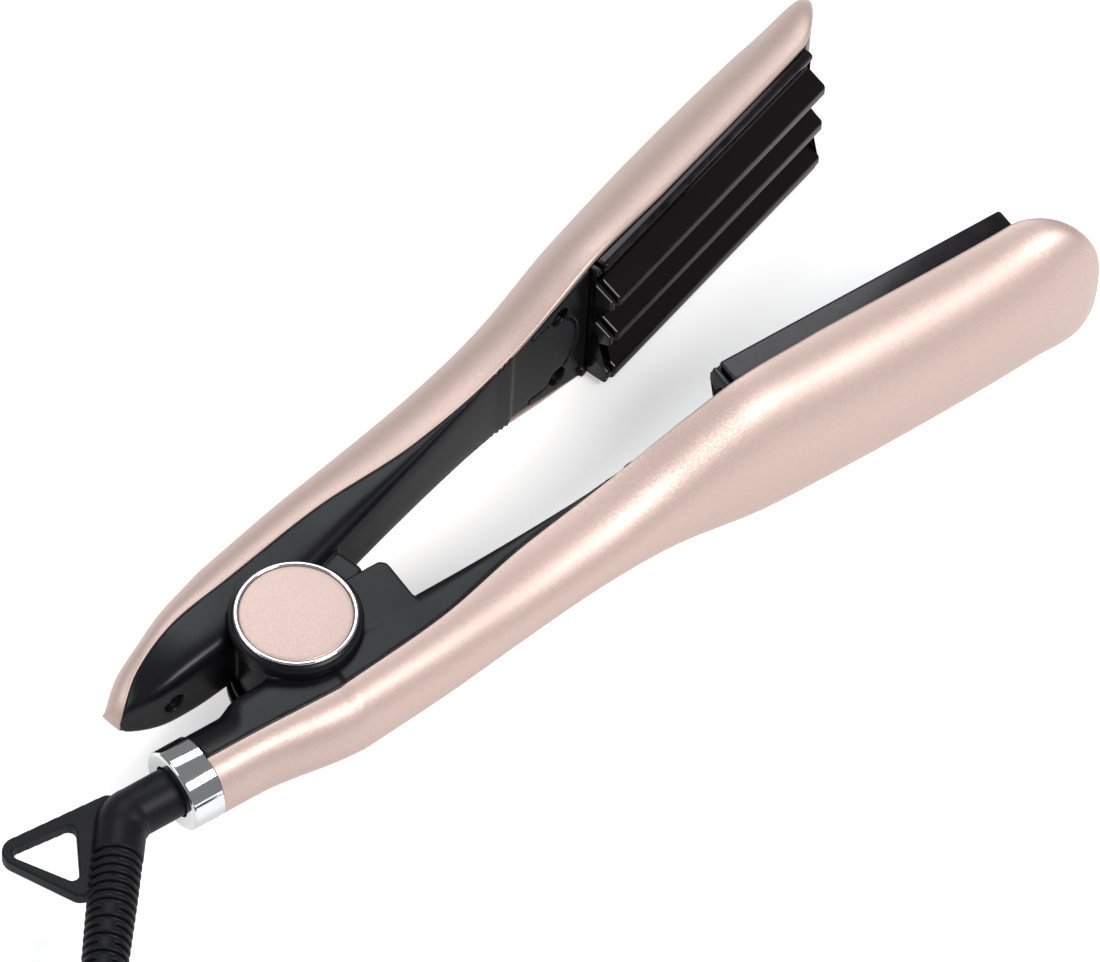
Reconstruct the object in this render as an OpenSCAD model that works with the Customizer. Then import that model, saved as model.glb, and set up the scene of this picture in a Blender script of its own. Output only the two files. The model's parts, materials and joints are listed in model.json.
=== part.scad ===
// Hair waver with two hinged arms, lying on its side.
// The origin is on the pivot axis at the outer face of the lower pivot button.
// +X runs along the cord arm towards its tip, +Y towards the other arm, +Z up along the pivot axis.

/* [Arms] */
// Distance from the pivot axis to the heated plates
plate_start = 124; // [116:0.5:134]
// Distance from the ends of the plates to the tips of the paddles
tip_margin = 18; // [17:0.5:22]
// How far the rims draw back towards the tips of the paddles
tip_drop = 12.4; // [10:0.2:13]
// Width of the handles
handle_w = 22; // [21:0.5:24]
// Depth of the covers behind the plates
paddle_depth = 19.5; // [18:0.1:20.5]
// Depth of the covers at the pivot
pivot_depth = 10; // [9:0.2:10.6]
// Distance of the seam behind the closing plane at the pivot
pivot_seam = 20.9; // [20.3:0.1:21.6]
// Distance of the covers' rims behind the closing plane at the plates
paddle_seam = 4.7; // [4.6:0.1:5.2]
// Distance of the handles' inner faces behind the closing plane
inner_gap = 7; // [6.4:0.1:7.6]
// Distance of the frames round the plates behind the closing plane
rim_gap = 4.9; // [4.8:0.1:5.3]
// Thickness of the rose covers
cover_wall = 1.3; // [1.1:0.1:1.6]
// Thickness of the black housings
housing_wall = 2; // [1.6:0.1:2.2]
// Thickness of the frames round the plates
frame_t = 3; // [2.6:0.1:3.4]
// Angle between the arms at rest
open_angle = 17.7; // [12:0.1:18]
// Length of the free arm behind the pivot
tail_len = 43; // [41:0.5:45]

/* [Plates] */
// Length of the heated plates
plate_len = 84; // [72:0.5:90]
// Width of the heated plates
plate_w = 44.4; // [43:0.2:47]
// Distance from one ridge to the next
wave_pitch = 14.5; // [14:0.1:15]
// Depth of the waves
wave_depth = 5.8; // [5:0.1:6.4]
// Width of the flat on each ridge
wave_flat = 3; // [2.6:0.1:3.6]
// Steepness of the ridges' sides
wave_slope = 1.8; // [1.6:0.1:2]
// Gap between the waves of the two plates when the arms are closed
closed_gap = 1; // [0.6:0.1:1.4]

/* [Pivot] */
// Overall height of the pivot
pivot_h = 32; // [31:0.2:36]
// Radius of the black pivot caps
cap_r = 16.4; // [16.2:0.1:17.4]
// Outer radius of the chrome rings
ring_r = 15; // [14.6:0.1:15.2]
// Radius of the rose buttons in the rings
button_r = 13.8; // [13:0.1:14]
// Radius of the hinge pin
pin_r = 2.5; // [2:0.1:3]
// Radius of the free arm's knuckle
knuckle_r = 14; // [13:0.1:14.4]
// Width of the free arm's knuckle
knuckle_w = 14.8; // [13.8:0.2:15]
// Thickness of the washers beside the knuckle
washer_t = 0.8; // [0.6:0.1:1]
// Running clearance of the hinge pin
pin_clear = 0.05; // [0.02:0.01:0.09]

/* [Cord] */
// Radius of the chrome ferrule
ferrule_r = 10.5; // [10.3:0.1:11.2]
// Length of the chrome ferrule
ferrule_len = 8.8; // [8:0.1:10]
// Radius of the strain relief in the ferrule
relief_r = 6.3; // [5.8:0.1:6.6]
// Angle of the bend in the strain relief
relief_bend = 51; // [48:1:54]
// Length of the strain relief after its bend
relief_len = 56; // [50:1:56]
// Distance from one groove of the strain relief to the next
groove_pitch = 2.4; // [2.2:0.1:2.8]
// Thickness of the hang loop
loop_t = 3.6; // [3:0.1:4.4]
// Diameter of the cord
cord_d = 6; // [5.6:0.1:6.2]

/* [Button] */
// Radius of the power button
power_r = 4; // [3.4:0.1:4.6]
// Distance of the power button from the pivot axis
power_u = 50; // [46:0.5:54]
// Travel of the power button
power_travel = 1; // [0.6:0.1:1]

/* [Hidden] */

rose = [0.86, 0.69, 0.65];
black = [0.07, 0.07, 0.08];
gloss = [0.05, 0.04, 0.05];
steel = [0.75, 0.76, 0.78];
small = 0.01;
fine = 96;

mid_z = pivot_h / 2;
plate_end = plate_start + plate_len;
tip = plate_end + tip_margin;
handle_r = handle_w / 2;
side_gap = 0.3;
paddle_r = plate_w / 2 + side_gap + cover_wall;

// ---- Curves along the arms: u runs from the pivot to the tip, v from the arm to the closing plane ----

// Smooth curve through a list of [place, value]
function span(t, u, i = 0) = i > len(t) - 3 || u < t[i + 1][0] ? i : span(t, u, i + 1);
function rise(t, i) =
    let (a = t[max(0, i - 1)], b = t[min(len(t) - 1, i + 1)])
    (b[1] - a[1]) / (b[0] - a[0]);
function along(t, u) =
    let (i = span(t, u), a = t[i], b = t[i + 1], w = b[0] - a[0], s = min(max((u - a[0]) / w, 0), 1))
    (1 + 2 * s) * (1 - s) * (1 - s) * a[1] + s * (1 - s) * (1 - s) * w * rise(t, i)
    + s * s * (3 - 2 * s) * b[1] + s * s * (s - 1) * w * rise(t, i + 1);
function ease(t) = let (s = min(max(t, 0), 1)) s * s * (3 - 2 * s);
// Height of a round end that starts at a and closes at b, blunter for a higher power
function nose(u, a, b, power = 2) =
    pow(max(0.0002, 1 - pow(max(0, (u - a) / (b - a)), power)), 1 / power);

// Shares of the way from the pivot to the plates, and from the pivot to the tail's end
seam_share = [[0, 1], [0.25, 0.77], [0.48, 0.373], [0.78, 0.114], [1.2, 0]];
back_share = [[0, 1], [0.2, 0.72], [0.4, 0.33], [0.6, -0.05], [0.8, -0.25], [1, -0.12], [1.29, 0],
    [1.61, -0.17], [1.82, -0.66]];
width_share = [[0, 0.04], [0.24, 0], [0.4, -0.015], [0.52, 0.01], [0.645, 0.095], [0.766, 0.32],
    [0.887, 0.665], [1.008, 0.97], [1.17, 1], [1.61, 1.01], [1.82, 1.22]];
tail_seam = [[-1, -2.2], [-0.77, 1.1], [-0.4, 2.2], [0, 0]];
tail_inner = [[-1, 11.8], [-0.79, 6.8], [-0.58, 4.3], [-0.38, 2.6], [0, 0]];
tail_depth = [[-1, -4.8], [-0.87, -4.4], [-0.6, -4.3], [-0.3, -2.3], [0, 0]];

ferrule_front = -38.6;
ferrule_rear = ferrule_front - ferrule_len;
cord_v = -17.8;
barrel_r = ferrule_r - 0.5;
barrel_seam = 19.8;
barrel_u = -28;
tail_round = 26;
tip_round = 17.6;
tip_nose = 6.6;

// How far the rim has drawn back at a place near the tip
function rim_drop(u) = tip_drop * pow(max(0, (u - tip + tip_round + 1.5) / (tip_round + 1.5)), 1.56);

function seam_v(up, u) = -(u >= 0
    ? paddle_seam + (pivot_seam - paddle_seam) * along(seam_share, u / plate_start) + rim_drop(u)
    : up ? pivot_seam + along(tail_seam, u / tail_len)
    : pivot_seam + (barrel_seam - pivot_seam) * ease(u / barrel_u));
function back_v(u) = paddle_seam + paddle_depth
    + (pivot_seam + pivot_depth - paddle_seam - paddle_depth) * along(back_share, u / plate_start);
function depth(up, u) =
    (u >= 0 ? back_v(u) + seam_v(up, u)
    : up ? pivot_depth + along(tail_depth, u / tail_len)
    : pivot_depth + (barrel_r - cord_v - barrel_seam - pivot_depth) * ease(u / barrel_u))
    * nose(u, tip - tip_nose, tip);
function half_w(up, u) =
    (u >= 0 ? handle_r + (paddle_r - handle_r) * along(width_share, u / plate_start)
    : up ? (handle_r + 0.5 + 0.9 * u / tail_len) * nose(-u, tail_len - tail_round, tail_len + 1)
    : handle_r + (barrel_r - handle_r) * ease(u / barrel_u))
    * nose(u, tip - tip_round, tip, 2.5);
function inner_v(up, u) = -(u >= 0
    ? inner_gap + (rim_gap - inner_gap) * ease((u - plate_start * 0.72) / (plate_start * 0.27)) + rim_drop(u)
    : up ? inner_gap + along(tail_inner, u / tail_len)
    : inner_gap + (-cord_v - barrel_r - inner_gap) * ease(u / barrel_u));
// Bevel along the edge of a cover
function edge_bevel(u) = 0.35 + 0.5 * ease((u - plate_start + 26) / 20);
function side_power(up, u) = up || u > barrel_u + 6 ? 6 : 2.1 + 3.9 * ease((u - barrel_u) / 6);

// Half of a rounded outline with half width h and depth d
function half_round(h, d, power, steps) = [for (i = [0:steps])
    let (a = 180 * i / steps, c = abs(cos(a)), s = abs(sin(a)))
    pow(pow(c, power) + pow(s, power), -1 / power) * [h * cos(a), d * sin(a)]];

function cover_ring(up, u, inset, lip) =
    let (h = half_w(up, u) - inset, d = max(depth(up, u) - inset, 0.5), s = seam_v(up, u),
        edge = max(h - edge_bevel(u), h / 2))
    concat(lip > 0 ? [[u, s + lip, h]] : [[u, s, edge], [u, s - min(h - edge, d / 4), h - small]],
        [for (p = half_round(h, d, 2.1, 15)) if (p[1] > 0.01) [u, s - p[1], p[0]]],
        lip > 0 ? [[u, s + lip, -h]] : [[u, s - min(h - edge, d / 4), small - h], [u, s, -edge]]);
function housing_ring(up, u, inset, lip) =
    let (h = half_w(up, u) - inset, s = seam_v(up, u), d = max(inner_v(up, u) - s - inset, 0.3))
    concat(lip > 0 ? [[u, s - lip, -h]] : [],
        [for (p = half_round(h, d, side_power(up, u), 16)) [u, s + p[1], -p[0]]],
        lip > 0 ? [[u, s - lip, h]] : []);
function frame_ring(up, u, top, bottom) =
    let (h = half_w(up, u) - cover_wall - 0.1, v = inner_v(up, u),
        taper = 0.9 + 1.5 * ease((u - plate_end + 16) / 24))
    [[u, v + bottom, taper - h], [u, v + top - 0.4, -h], [u, v + top, 0.4 - h],
     [u, v + top, h - 0.4], [u, v + top - 0.4, h], [u, v + bottom, h - taper]];

tip_steps = [for (a = [10, 24, 37, 49, 60, 70, 79]) tip - tip_round * (1 - sin(a))];
cavity_end = tip - 3;
function first_u(up) = up ? -tail_len : ferrule_front;
function stations(up, last) = [if (up) -tail_len - 0.8,
    for (u = up ? [-tail_len, 2.5 - tail_len, 6 - tail_len, -28, -20, -10]
        : [ferrule_front, -34, -28, -22, -16, -8]) u,
    for (u = [0:10:tip - tip_round - 2]) if (u < last) u,
    for (u = tip_steps) if (u < last) u, if (last < tip) last];

// A closed solid through rings with the same count of points
module loft(rings) {
    n = len(rings[0]);
    m = len(rings);
    polyhedron(
        [for (r = rings) each r],
        concat(
            [[for (i = [0:n - 1]) i]],
            [for (j = [0:m - 2], i = [0:n - 1]) let (k = (i + 1) % n)
                each [[j * n + i, (j + 1) * n + i, (j + 1) * n + k],
                    [j * n + i, (j + 1) * n + k, j * n + k]]],
            [[for (i = [n - 1:-1:0]) (m - 1) * n + i]]));
}

module in_lower() { translate([0, 0, mid_z]) children(); }
module in_upper() { translate([0, 0, mid_z]) rotate([0, 0, open_angle]) mirror([0, 1, 0]) children(); }

// A cylinder along the v axis, from the lower to the upper value of v
module post(u, z, v_low, v_high, r) {
    translate([u, v_low, z]) rotate([-90, 0, 0]) cylinder(r = r, h = v_high - v_low, $fn = 48);
}

// ---- Covers ----

screw_u = plate_start - 13.2;
screw_z = 12.4;
tail_screw_u = -30;
screw_head_r = 2.3;
screw_shank_r = 1.2;
recess_r = 2.7;
recess_depth = 3.6;
boss_r = 3.8;

function recess_v(up, u) = inner_v(up, u) - recess_depth;
function post_top(up) = inner_v(up, screw_u) - frame_t + 0.3;

module arm_cover(up) {
    difference() {
        union() {
            difference() {
                loft([for (u = stations(up, tip)) cover_ring(up, u, 0, 0)]);
                loft([for (u = stations(up, cavity_end)) let (w = u == first_u(up) && !up ? u - 1 : u)
                    if (!up || u > 5 - tail_len) cover_ring(up, w, cover_wall, 1)]);
            }
            intersection() {
                union() {
                    for (z = [-screw_z, screw_z])
                        post(screw_u, z, -paddle_depth - paddle_seam, recess_v(up, screw_u) - 2, boss_r);
                    if (up)
                        post(tail_screw_u, 0, -pivot_seam - pivot_depth, -18.6, boss_r);
                }
                loft([for (u = stations(up, tip)) cover_ring(up, u, 0.4, 1)]);
            }
        }
        for (z = [-screw_z, screw_z])
            post(screw_u, z, -17, 0, screw_shank_r);
        if (up)
            post(tail_screw_u, 0, -25, 0, screw_shank_r);
    }
}

module lower_cover() { color(rose) in_lower() arm_cover(false); }
module upper_cover() { color(rose) in_upper() arm_cover(true); }

// ---- Housings: the black inner halves of the handles ----

lug_r = cap_r - 0.9;
lug_in = knuckle_w / 2 + washer_t + 0.05;
lug_out = handle_r;
block_end = 28.5;
block_top = 4.4;
hump_end = 25;
hump_top = 1.6;
knuckle_room = 0.6;
tongue_u = plate_start - 19.5;
tongue_r = 12.8;
joint_u = plate_start - 23.5;
joint_gap = 0.15;

function handle_stations(up) = [for (u = stations(up, tip)) if (u < joint_u - 8) u, joint_u - 7];
function slab_stations(up) = [joint_u - 17, joint_u - 10, joint_u - 4, joint_u, joint_u + 6,
    joint_u + 12, joint_u + 17, for (u = stations(up, tip)) if (u > joint_u + 21 && u < tip - 3) u];

// The region that the handle's housing takes from the inner face
module tongue(grow) {
    translate([0, -40, 0]) rotate([-90, 0, 0]) linear_extrude(60) {
        translate([-100, -40]) square([100 + joint_u + grow, 80]);
        translate([tongue_u, 0]) circle(r = tongue_r + grow, $fn = fine);
    }
}

module lug_outline(grow) {
    circle(r = lug_r + grow, $fn = fine);
    hull() {
        translate([2, -16.4]) square([block_end - 2, 10.4]);
        translate([block_end - 2.5, block_top - 2.5]) circle(r = 2.5, $fn = 32);
        translate([4, block_top - 2.5]) circle(r = 2.5, $fn = 32);
    }
}

module knuckle_outline(grow) {
    circle(r = knuckle_r + grow, $fn = fine);
    hull() {
        translate([0, -14]) square([hump_end, 8]);
        translate([hump_end - 2 + grow, hump_top - 2 + grow]) circle(r = 2, $fn = 32);
        translate([2, hump_top - 2 + grow]) circle(r = 2, $fn = 32);
    }
}

module housing_shell(up) {
    difference() {
        union() {
            difference() {
                loft([for (u = handle_stations(up)) housing_ring(up, u, 0, 0)]);
                loft([for (u = handle_stations(up)) if (u < joint_u - 16 && (!up || u > 5 - tail_len))
                    housing_ring(up, u == ferrule_front ? u - 1 : u, housing_wall, 1)]);
            }
            intersection() {
                loft([for (u = slab_stations(up)) frame_ring(up, u, 0, -frame_t)]);
                tongue(0);
            }
        }
        for (z = [-screw_z, screw_z]) {
            post(screw_u, z, -30, post_top(up) + 0.15, boss_r + 0.15);
            post(screw_u, z, -30, 0, recess_r);
        }
    }
}

module lower_housing() {
    color(black) in_lower() difference() {
        union() {
            difference() {
                union() {
                    housing_shell(false);
                    // wall behind the knuckle
                    intersection() {
                        cylinder(r = knuckle_r + knuckle_room + 1.6, h = 2 * lug_in, center = true, $fn = fine);
                        translate([0, -pivot_seam, 0])
                            translate([-40, 0, -handle_r]) cube([80, pivot_seam - inner_gap - 1, handle_w]);
                    }
                }
                cylinder(r = knuckle_r + knuckle_room, h = 2 * lug_in, center = true, $fn = fine);
            }
            // lugs that hold the pin
            for (s = [-1, 1])
                translate([0, 0, s * (lug_in + lug_out) / 2])
                    linear_extrude(lug_out - lug_in, center = true) lug_outline(0);
            // tube that carries the ferrule and the swivel
            translate([ferrule_front - spigot_len, cord_v, 0]) rotate([0, 90, 0]) difference() {
                union() {
                    cylinder(r = spigot_r, h = spigot_len, $fn = fine);
                    cylinder(r = barrel_r - cover_wall - 0.1, h = spigot_len + 5, $fn = fine);
                    // half that reaches into the housing
                    intersection() {
                        cylinder(r = barrel_r - 0.5, h = spigot_len + 5, $fn = fine);
                        translate([-20, 0.05 - cord_v - barrel_seam, spigot_len - small])
                            cube([40, 30, 9]);
                    }
                }
                translate([0, 0, -small]) cylinder(r = swivel_r + 0.4, h = spigot_len + 2.5, $fn = fine);
                cylinder(r = 3.4, h = spigot_len + 6, $fn = 48);
            }
            // posts that carry the circuit board
            for (u = board_posts)
                post(u, 0, board_top, -inner_gap - housing_wall + 0.5, 1.6);
        }
        cylinder(r = pin_r, h = 60, center = true, $fn = 64);
        // seats of the two caps
        for (s = [0, 1])
            mirror([0, 0, s]) translate([0, 0, lug_out]) cylinder(r = lug_r - 0.35, h = 3, $fn = fine);
        post(power_u, 0, -14, 0, power_r + 0.3);
        post(lens_u, 0, -14, 0, lens_r);
    }
}

module upper_housing() {
    color(black) in_upper() difference() {
        union() {
            difference() {
                housing_shell(true);
                for (s = [-1, 1])
                    translate([0, 0, s * 12.9])
                        cylinder(r = lug_r + knuckle_room, h = 10, center = true, $fn = fine);
            }
            linear_extrude(knuckle_w, center = true) knuckle_outline(0);
            // post for the tail screw
            post(tail_screw_u, 0, -18.6, inner_v(true, tail_screw_u) - 1, boss_r);
        }
        cylinder(r = pin_r + pin_clear, h = 60, center = true, $fn = 64);
        cylinder(r = spring_r + 1.2, h = knuckle_w - 5, center = true, $fn = 64);
        post(tail_screw_u, 0, recess_v(true, tail_screw_u), 0, recess_r - 0.3);
        post(tail_screw_u, 0, -30, 0, screw_shank_r);
    }
}

// ---- Frames round the plates ----

plate_back = paddle_seam + 3.5;
flange_v = -paddle_seam - 0.9;
core_w = plate_w - 4.8;
holder_gap = 2.6;

module arm_frame(up) {
    side = up ? -1 : 1;
    difference() {
        union() {
            difference() {
                loft([for (u = slab_stations(up)) frame_ring(up, u, 0, -frame_t)]);
                tongue(joint_gap);
            }
            for (z = [-screw_z, screw_z])
                post(screw_u, z, recess_v(up, screw_u) - 2, post_top(up), boss_r);
            // small tab beside the end of the plate
            translate([plate_start - 4, -rim_gap - 1.5, side * (paddle_r - 4.6)])
                rotate([-90, 0, 0]) cylinder(r = 1.5, h = 2.5, $fn = 32);
        }
        // seat of the plate's flange over the rails, and the opening for its core
        translate([plate_start - holder_gap, flange_v - 0.2, -plate_w / 2 - side_gap])
            cube([plate_len + holder_gap + side_gap, 20, plate_w + 2 * side_gap]);
        translate([plate_start - holder_gap, -20, -core_w / 2 - side_gap])
            cube([plate_len + holder_gap + side_gap, 30, core_w + 2 * side_gap]);
        for (z = [-screw_z, screw_z]) {
            post(screw_u, z, recess_v(up, screw_u), 0, recess_r);
            post(screw_u, z, -30, 0, screw_shank_r);
        }
    }
}

module lower_frame() { color(black) in_lower() arm_frame(false); }
module upper_frame() { color(black) in_upper() arm_frame(true); }

// ---- Heated plates: the ridges of one fit the valleys of the other ----

crest_v = (wave_depth - closed_gap) / 2;
flank = wave_depth / wave_slope;
corner_r = 0.9;
shoulder_v = crest_v - wave_depth * 0.767;

// Height of the wave at a place across the plate, for a ridge centred at wave_pitch / 4
function wave(z) =
    let (t = abs((z - wave_pitch / 4 + 10 * wave_pitch + wave_pitch / 2) % wave_pitch - wave_pitch / 2))
    crest_v - wave_depth * min(max((t - wave_flat / 2) / flank, 0), 1);
// Corners of the wave from one side of the plate to the other, for ridges centred at
// -5/4, -1/4 and 3/4 of the pitch
wave_corners = [for (k = [-1.25:0.75], e = [-1, 1], t = [e * wave_flat / 2 + (e < 0 ? -flank : 0),
        e * wave_flat / 2 + (e < 0 ? 0 : flank)])
    let (z = k * wave_pitch + t)
    if (z > 3.3 - plate_w / 2) [z, wave(z - wave_pitch / 2)]];
last_valley = 0.75 * wave_pitch + wave_flat / 2 + flank;
plate_top = concat([[-plate_w / 2, crest_v - 0.85], [-plate_w / 2 + 2.3, crest_v - 0.75],
        [-plate_w / 2 + 3.2, crest_v]], wave_corners,
    [[last_valley + 2.3, crest_v - wave_depth], [plate_w / 2 - 2, shoulder_v], [plate_w / 2 - 0.5, shoulder_v],
     [plate_w / 2, shoulder_v - 1.2]]);
plate_outline = concat([[-core_w / 2, -plate_back], [-core_w / 2, flange_v], [-plate_w / 2, flange_v]],
    plate_top, [[plate_w / 2, flange_v], [core_w / 2, flange_v], [core_w / 2, -plate_back]]);

// A closed outline with each corner turned into an arc of radius r
function rounded(p, r, steps) = [for (i = [0:len(p) - 1])
    let (n = len(p), c = p[i], a = p[(i + n - 1) % n] - c, b = p[(i + 1) % n] - c,
        ua = a / norm(a), ub = b / norm(b), half = acos(min(max(ua * ub, -1), 1)) / 2)
    if (half > 88) c else
    let (t = min(r / tan(half), 0.45 * norm(a), 0.45 * norm(b)), rr = t * tan(half),
        m = (ua + ub) / norm(ua + ub), o = c + m * rr / sin(half), e = c + ua * t - o, f = c + ub * t - o)
    for (k = [0:steps]) let (w = e * (1 - k / steps) + f * k / steps) o + w * rr / norm(w)];

// A bar with the outline p whose top edges are rounded by r at both ends
module ridge_bar(u_low, u_high, p, r) {
    ends = [for (a = [0, 30, 60, 90]) [r * (1 - cos(a)), r * (1 - sin(a))]];
    steps = concat([for (e = ends) [u_low + e[0], e[1]]],
        [for (i = [3:-1:0]) [u_high - ends[i][0], ends[i][1]]]);
    loft([for (e = steps) [for (q = p)
        [e[0], q[1] > flange_v + 1 ? q[1] - e[1] : q[1],
            q[0] - sign(q[0]) * min(e[1], max(0, abs(q[0]) - core_w / 2))]]]);
}

module arm_plate(up) {
    mirror([0, 0, up ? 0 : 1]) ridge_bar(plate_start, plate_end, rounded(plate_outline, corner_r, 2), corner_r);
}

module lower_plate() { color(gloss) in_lower() arm_plate(false); }
module upper_plate() { color(gloss) in_upper() arm_plate(true); }

holder_t = 1.8;
heater_w = 14;
heater_t = 3;
heater_len = 60;

module arm_holder(up) {
    w = core_w / 2 - 0.3;
    lip_w = plate_w / 2 - 0.5;
    lip = [for (p = plate_top) if (abs(p[0]) < lip_w - 0.3) [p[0], p[1] - 0.5]];
    difference() {
        union() {
            translate([plate_start - holder_gap + 0.3, -plate_back - holder_t, -w])
                cube([plate_len + holder_gap - 0.6, holder_t, 2 * w]);
            // scalloped wall behind the ridges
            mirror([0, 0, up ? 0 : 1])
                ridge_bar(plate_start - holder_gap + 0.3, plate_start - 0.7,
                    rounded(concat([[-w, -plate_back - holder_t], [-w, flange_v], [-lip_w, flange_v],
                        [-lip_w, lip[0][1]]], lip, [[lip_w, lip[len(lip) - 1][1] - 0.4], [lip_w, flange_v],
                        [w, flange_v], [w, -plate_back - holder_t]]), 0.6, 2), 0.6);
        }
        translate([(plate_start + plate_end - heater_len) / 2, -plate_back - holder_t - 1, -heater_w / 2])
            cube([heater_len, holder_t + 1 + small, heater_w]);
    }
}

module arm_heater() {
    translate([(plate_start + plate_end - heater_len) / 2, -plate_back - heater_t, -heater_w / 2])
        cube([heater_len, heater_t, heater_w]);
}

// Bimetal thermostat with its two tabs, on the plate holder
module arm_thermostat() {
    z = core_w / 2 - 5.8;
    translate([plate_start + 12, -plate_back - holder_t, z]) rotate([90, 0, 0]) {
        cylinder(r = 4.2, h = 3.6, $fn = 48);
        for (s = [-1, 1])
            translate([s * 5 - 2.5, -1.5, 1.2]) cube([5, 3, 0.6]);
    }
}

// Pair of supply wires along the points [u, v]
wire_r = 0.9;
heater_v = -plate_back - heater_t - wire_r - 0.05;
module arm_wires(points) {
    for (z = [-2.4, 2.4])
        tube([for (p = points) [p[0], p[1], z]], wire_r, 8);
}

module arm_screws(up) {
    for (z = [-screw_z, screw_z])
        screw(screw_u, z, recess_v(up, screw_u), 7.5);
    if (up)
        screw(tail_screw_u, 0, recess_v(true, tail_screw_u), 8);
}

module screw(u, z, v, len) {
    difference() {
        union() {
            post(u, z, v - len, v + small, screw_shank_r);
            post(u, z, v, v + 1.5, screw_head_r);
        }
        for (a = [0, 90])
            translate([u, v + 1.5, z]) rotate([0, a, 0]) cube([2.6, 1.4, 0.6], center = true);
    }
}

module lower_plate_holder() { color([0.2, 0.2, 0.2]) in_lower() arm_holder(false); }
module upper_plate_holder() { color([0.2, 0.2, 0.2]) in_upper() arm_holder(true); }
module lower_heater() { color([0.85, 0.82, 0.75]) in_lower() arm_heater(); }
module upper_heater() { color([0.85, 0.82, 0.75]) in_upper() arm_heater(); }
module lower_thermostat() { color(steel) in_lower() arm_thermostat(); }
module upper_thermostat() { color(steel) in_upper() arm_thermostat(); }
module lower_wires() {
    color([0.7, 0.1, 0.1]) in_lower() {
        arm_wires([[-33, -20.5], [8, -20.5], [board_low - 0.9, board_top - 0.8]]);
        arm_wires([[board_low + board_len + 0.05, board_top - 0.8], [plate_start - 6, -13],
            [plate_start + 15, heater_v]]);
    }
}
module upper_wires() {
    color([0.7, 0.1, 0.1]) in_upper()
        arm_wires([[16, -20], [plate_start - 6, -13], [plate_start + 15, heater_v]]);
}
module lower_screws() { color(steel) in_lower() arm_screws(false); }
module upper_screws() { color(steel) in_upper() arm_screws(true); }

// ---- Circuit board, button and lamp in the cord arm ----

board_top = -inner_gap - housing_wall - 3;
board_posts = [power_u - 16, power_u + 22];
board_low = power_u - 20;
board_len = 46;
lens_u = power_u + 12;
lens_r = 1.5;
switch_h = 0.95;

module circuit_board() {
    color([0.1, 0.35, 0.2]) in_lower() {
        translate([board_low, board_top - 1.6, -7]) cube([board_len, 1.6, 14]);
        // tactile switch under the button
        translate([power_u - 3, board_top, -3]) cube([6, switch_h, 6]);
        // relay and capacitor below the board
        translate([board_low + 4, board_top - 7.6, -5]) cube([12, 6, 10]);
        post(board_low + 24, 0, board_top - 8.6, board_top - 1.6, 3.2);
    }
}

module power_button() {
    color(black) in_lower() {
        post(power_u, 0, -inner_gap - housing_wall - 0.9, -inner_gap + 0.8, power_r);
        post(power_u, 0, board_top + switch_h + power_travel + 0.05, -inner_gap - housing_wall - 0.1,
            power_r + 1);
    }
}

module indicator_lens() {
    color([0.8, 0.2, 0.15]) in_lower() post(lens_u, 0, board_top, -inner_gap + 0.2, lens_r);
}

// ---- Pivot ----

spring_r = 4.4;
spring_wire = 1;
spring_turns = 4;
cap_foot = handle_r + 0.5;
cap_top = mid_z - 0.6;
pin_head_t = 1.6;

module pivot_pin() {
    color(steel) in_lower() {
        cylinder(r = pin_r, h = 2 * lug_out, center = true, $fn = 64);
        for (s = [0, 1])
            mirror([0, 0, s]) translate([0, 0, lug_out]) cylinder(r = pin_r + 2, h = pin_head_t, $fn = 64);
    }
}

module pivot_washers() {
    color([0.9, 0.9, 0.88]) in_lower() for (s = [0, 1])
        mirror([0, 0, s]) translate([0, 0, knuckle_w / 2 + 0.05]) difference() {
            cylinder(r = 6.5, h = washer_t, $fn = 64);
            translate([0, 0, -1]) cylinder(r = pin_r + 0.1, h = 3, $fn = 64);
        }
}

// A wire coil with its rings square to the helix
function coil_ring(a, rise, turns, sides) =
    let (c = [cos(a), sin(a), 0], z = rise * a / 360 - rise * turns / 2)
    [for (k = [0:sides - 1]) let (b = 360 * k / sides)
        c * (spring_r + spring_wire / 2 * cos(b)) + [0, 0, z + spring_wire / 2 * sin(b)]];

module torsion_spring() {
    color(steel) in_lower()
        loft([for (i = [0:spring_turns * 16]) coil_ring(i * 22.5, spring_wire * 1.5, spring_turns, 6)]);
}

// Black cap with a rounded rim, a seat for the ring and room for the pin's head
module pivot_cap() {
    rotate_extrude($fn = fine) polygon(concat(
        [[pin_r + 2.4, handle_r], [lug_r - 0.4, handle_r], [lug_r - 0.4, cap_foot], [cap_r, cap_foot]],
        [for (a = [0:15:90]) [cap_r - 1.4 + 1.4 * cos(a), cap_top - 1.4 + 1.4 * sin(a)]],
        [[ring_r + 0.05, cap_top], [ring_r + 0.05, cap_top - 1], [0, cap_top - 1],
         [0, handle_r + pin_head_t + 0.2], [pin_r + 2.4, handle_r + pin_head_t + 0.2]]));
}

module chrome_ring() {
    rotate_extrude($fn = fine) polygon([[button_r + 0.15, cap_top - 1], [ring_r, cap_top - 1],
        [ring_r, mid_z - 0.35], [ring_r - 0.3, mid_z - 0.1], [button_r + 0.45, mid_z - 0.1],
        [button_r + 0.15, mid_z - 0.35]]);
}

module pivot_button() {
    rotate_extrude($fn = fine) polygon([[0, cap_top - 1], [button_r, cap_top - 1], [button_r, mid_z - 0.4],
        [button_r - 0.4, mid_z], [0, mid_z]]);
}

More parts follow.
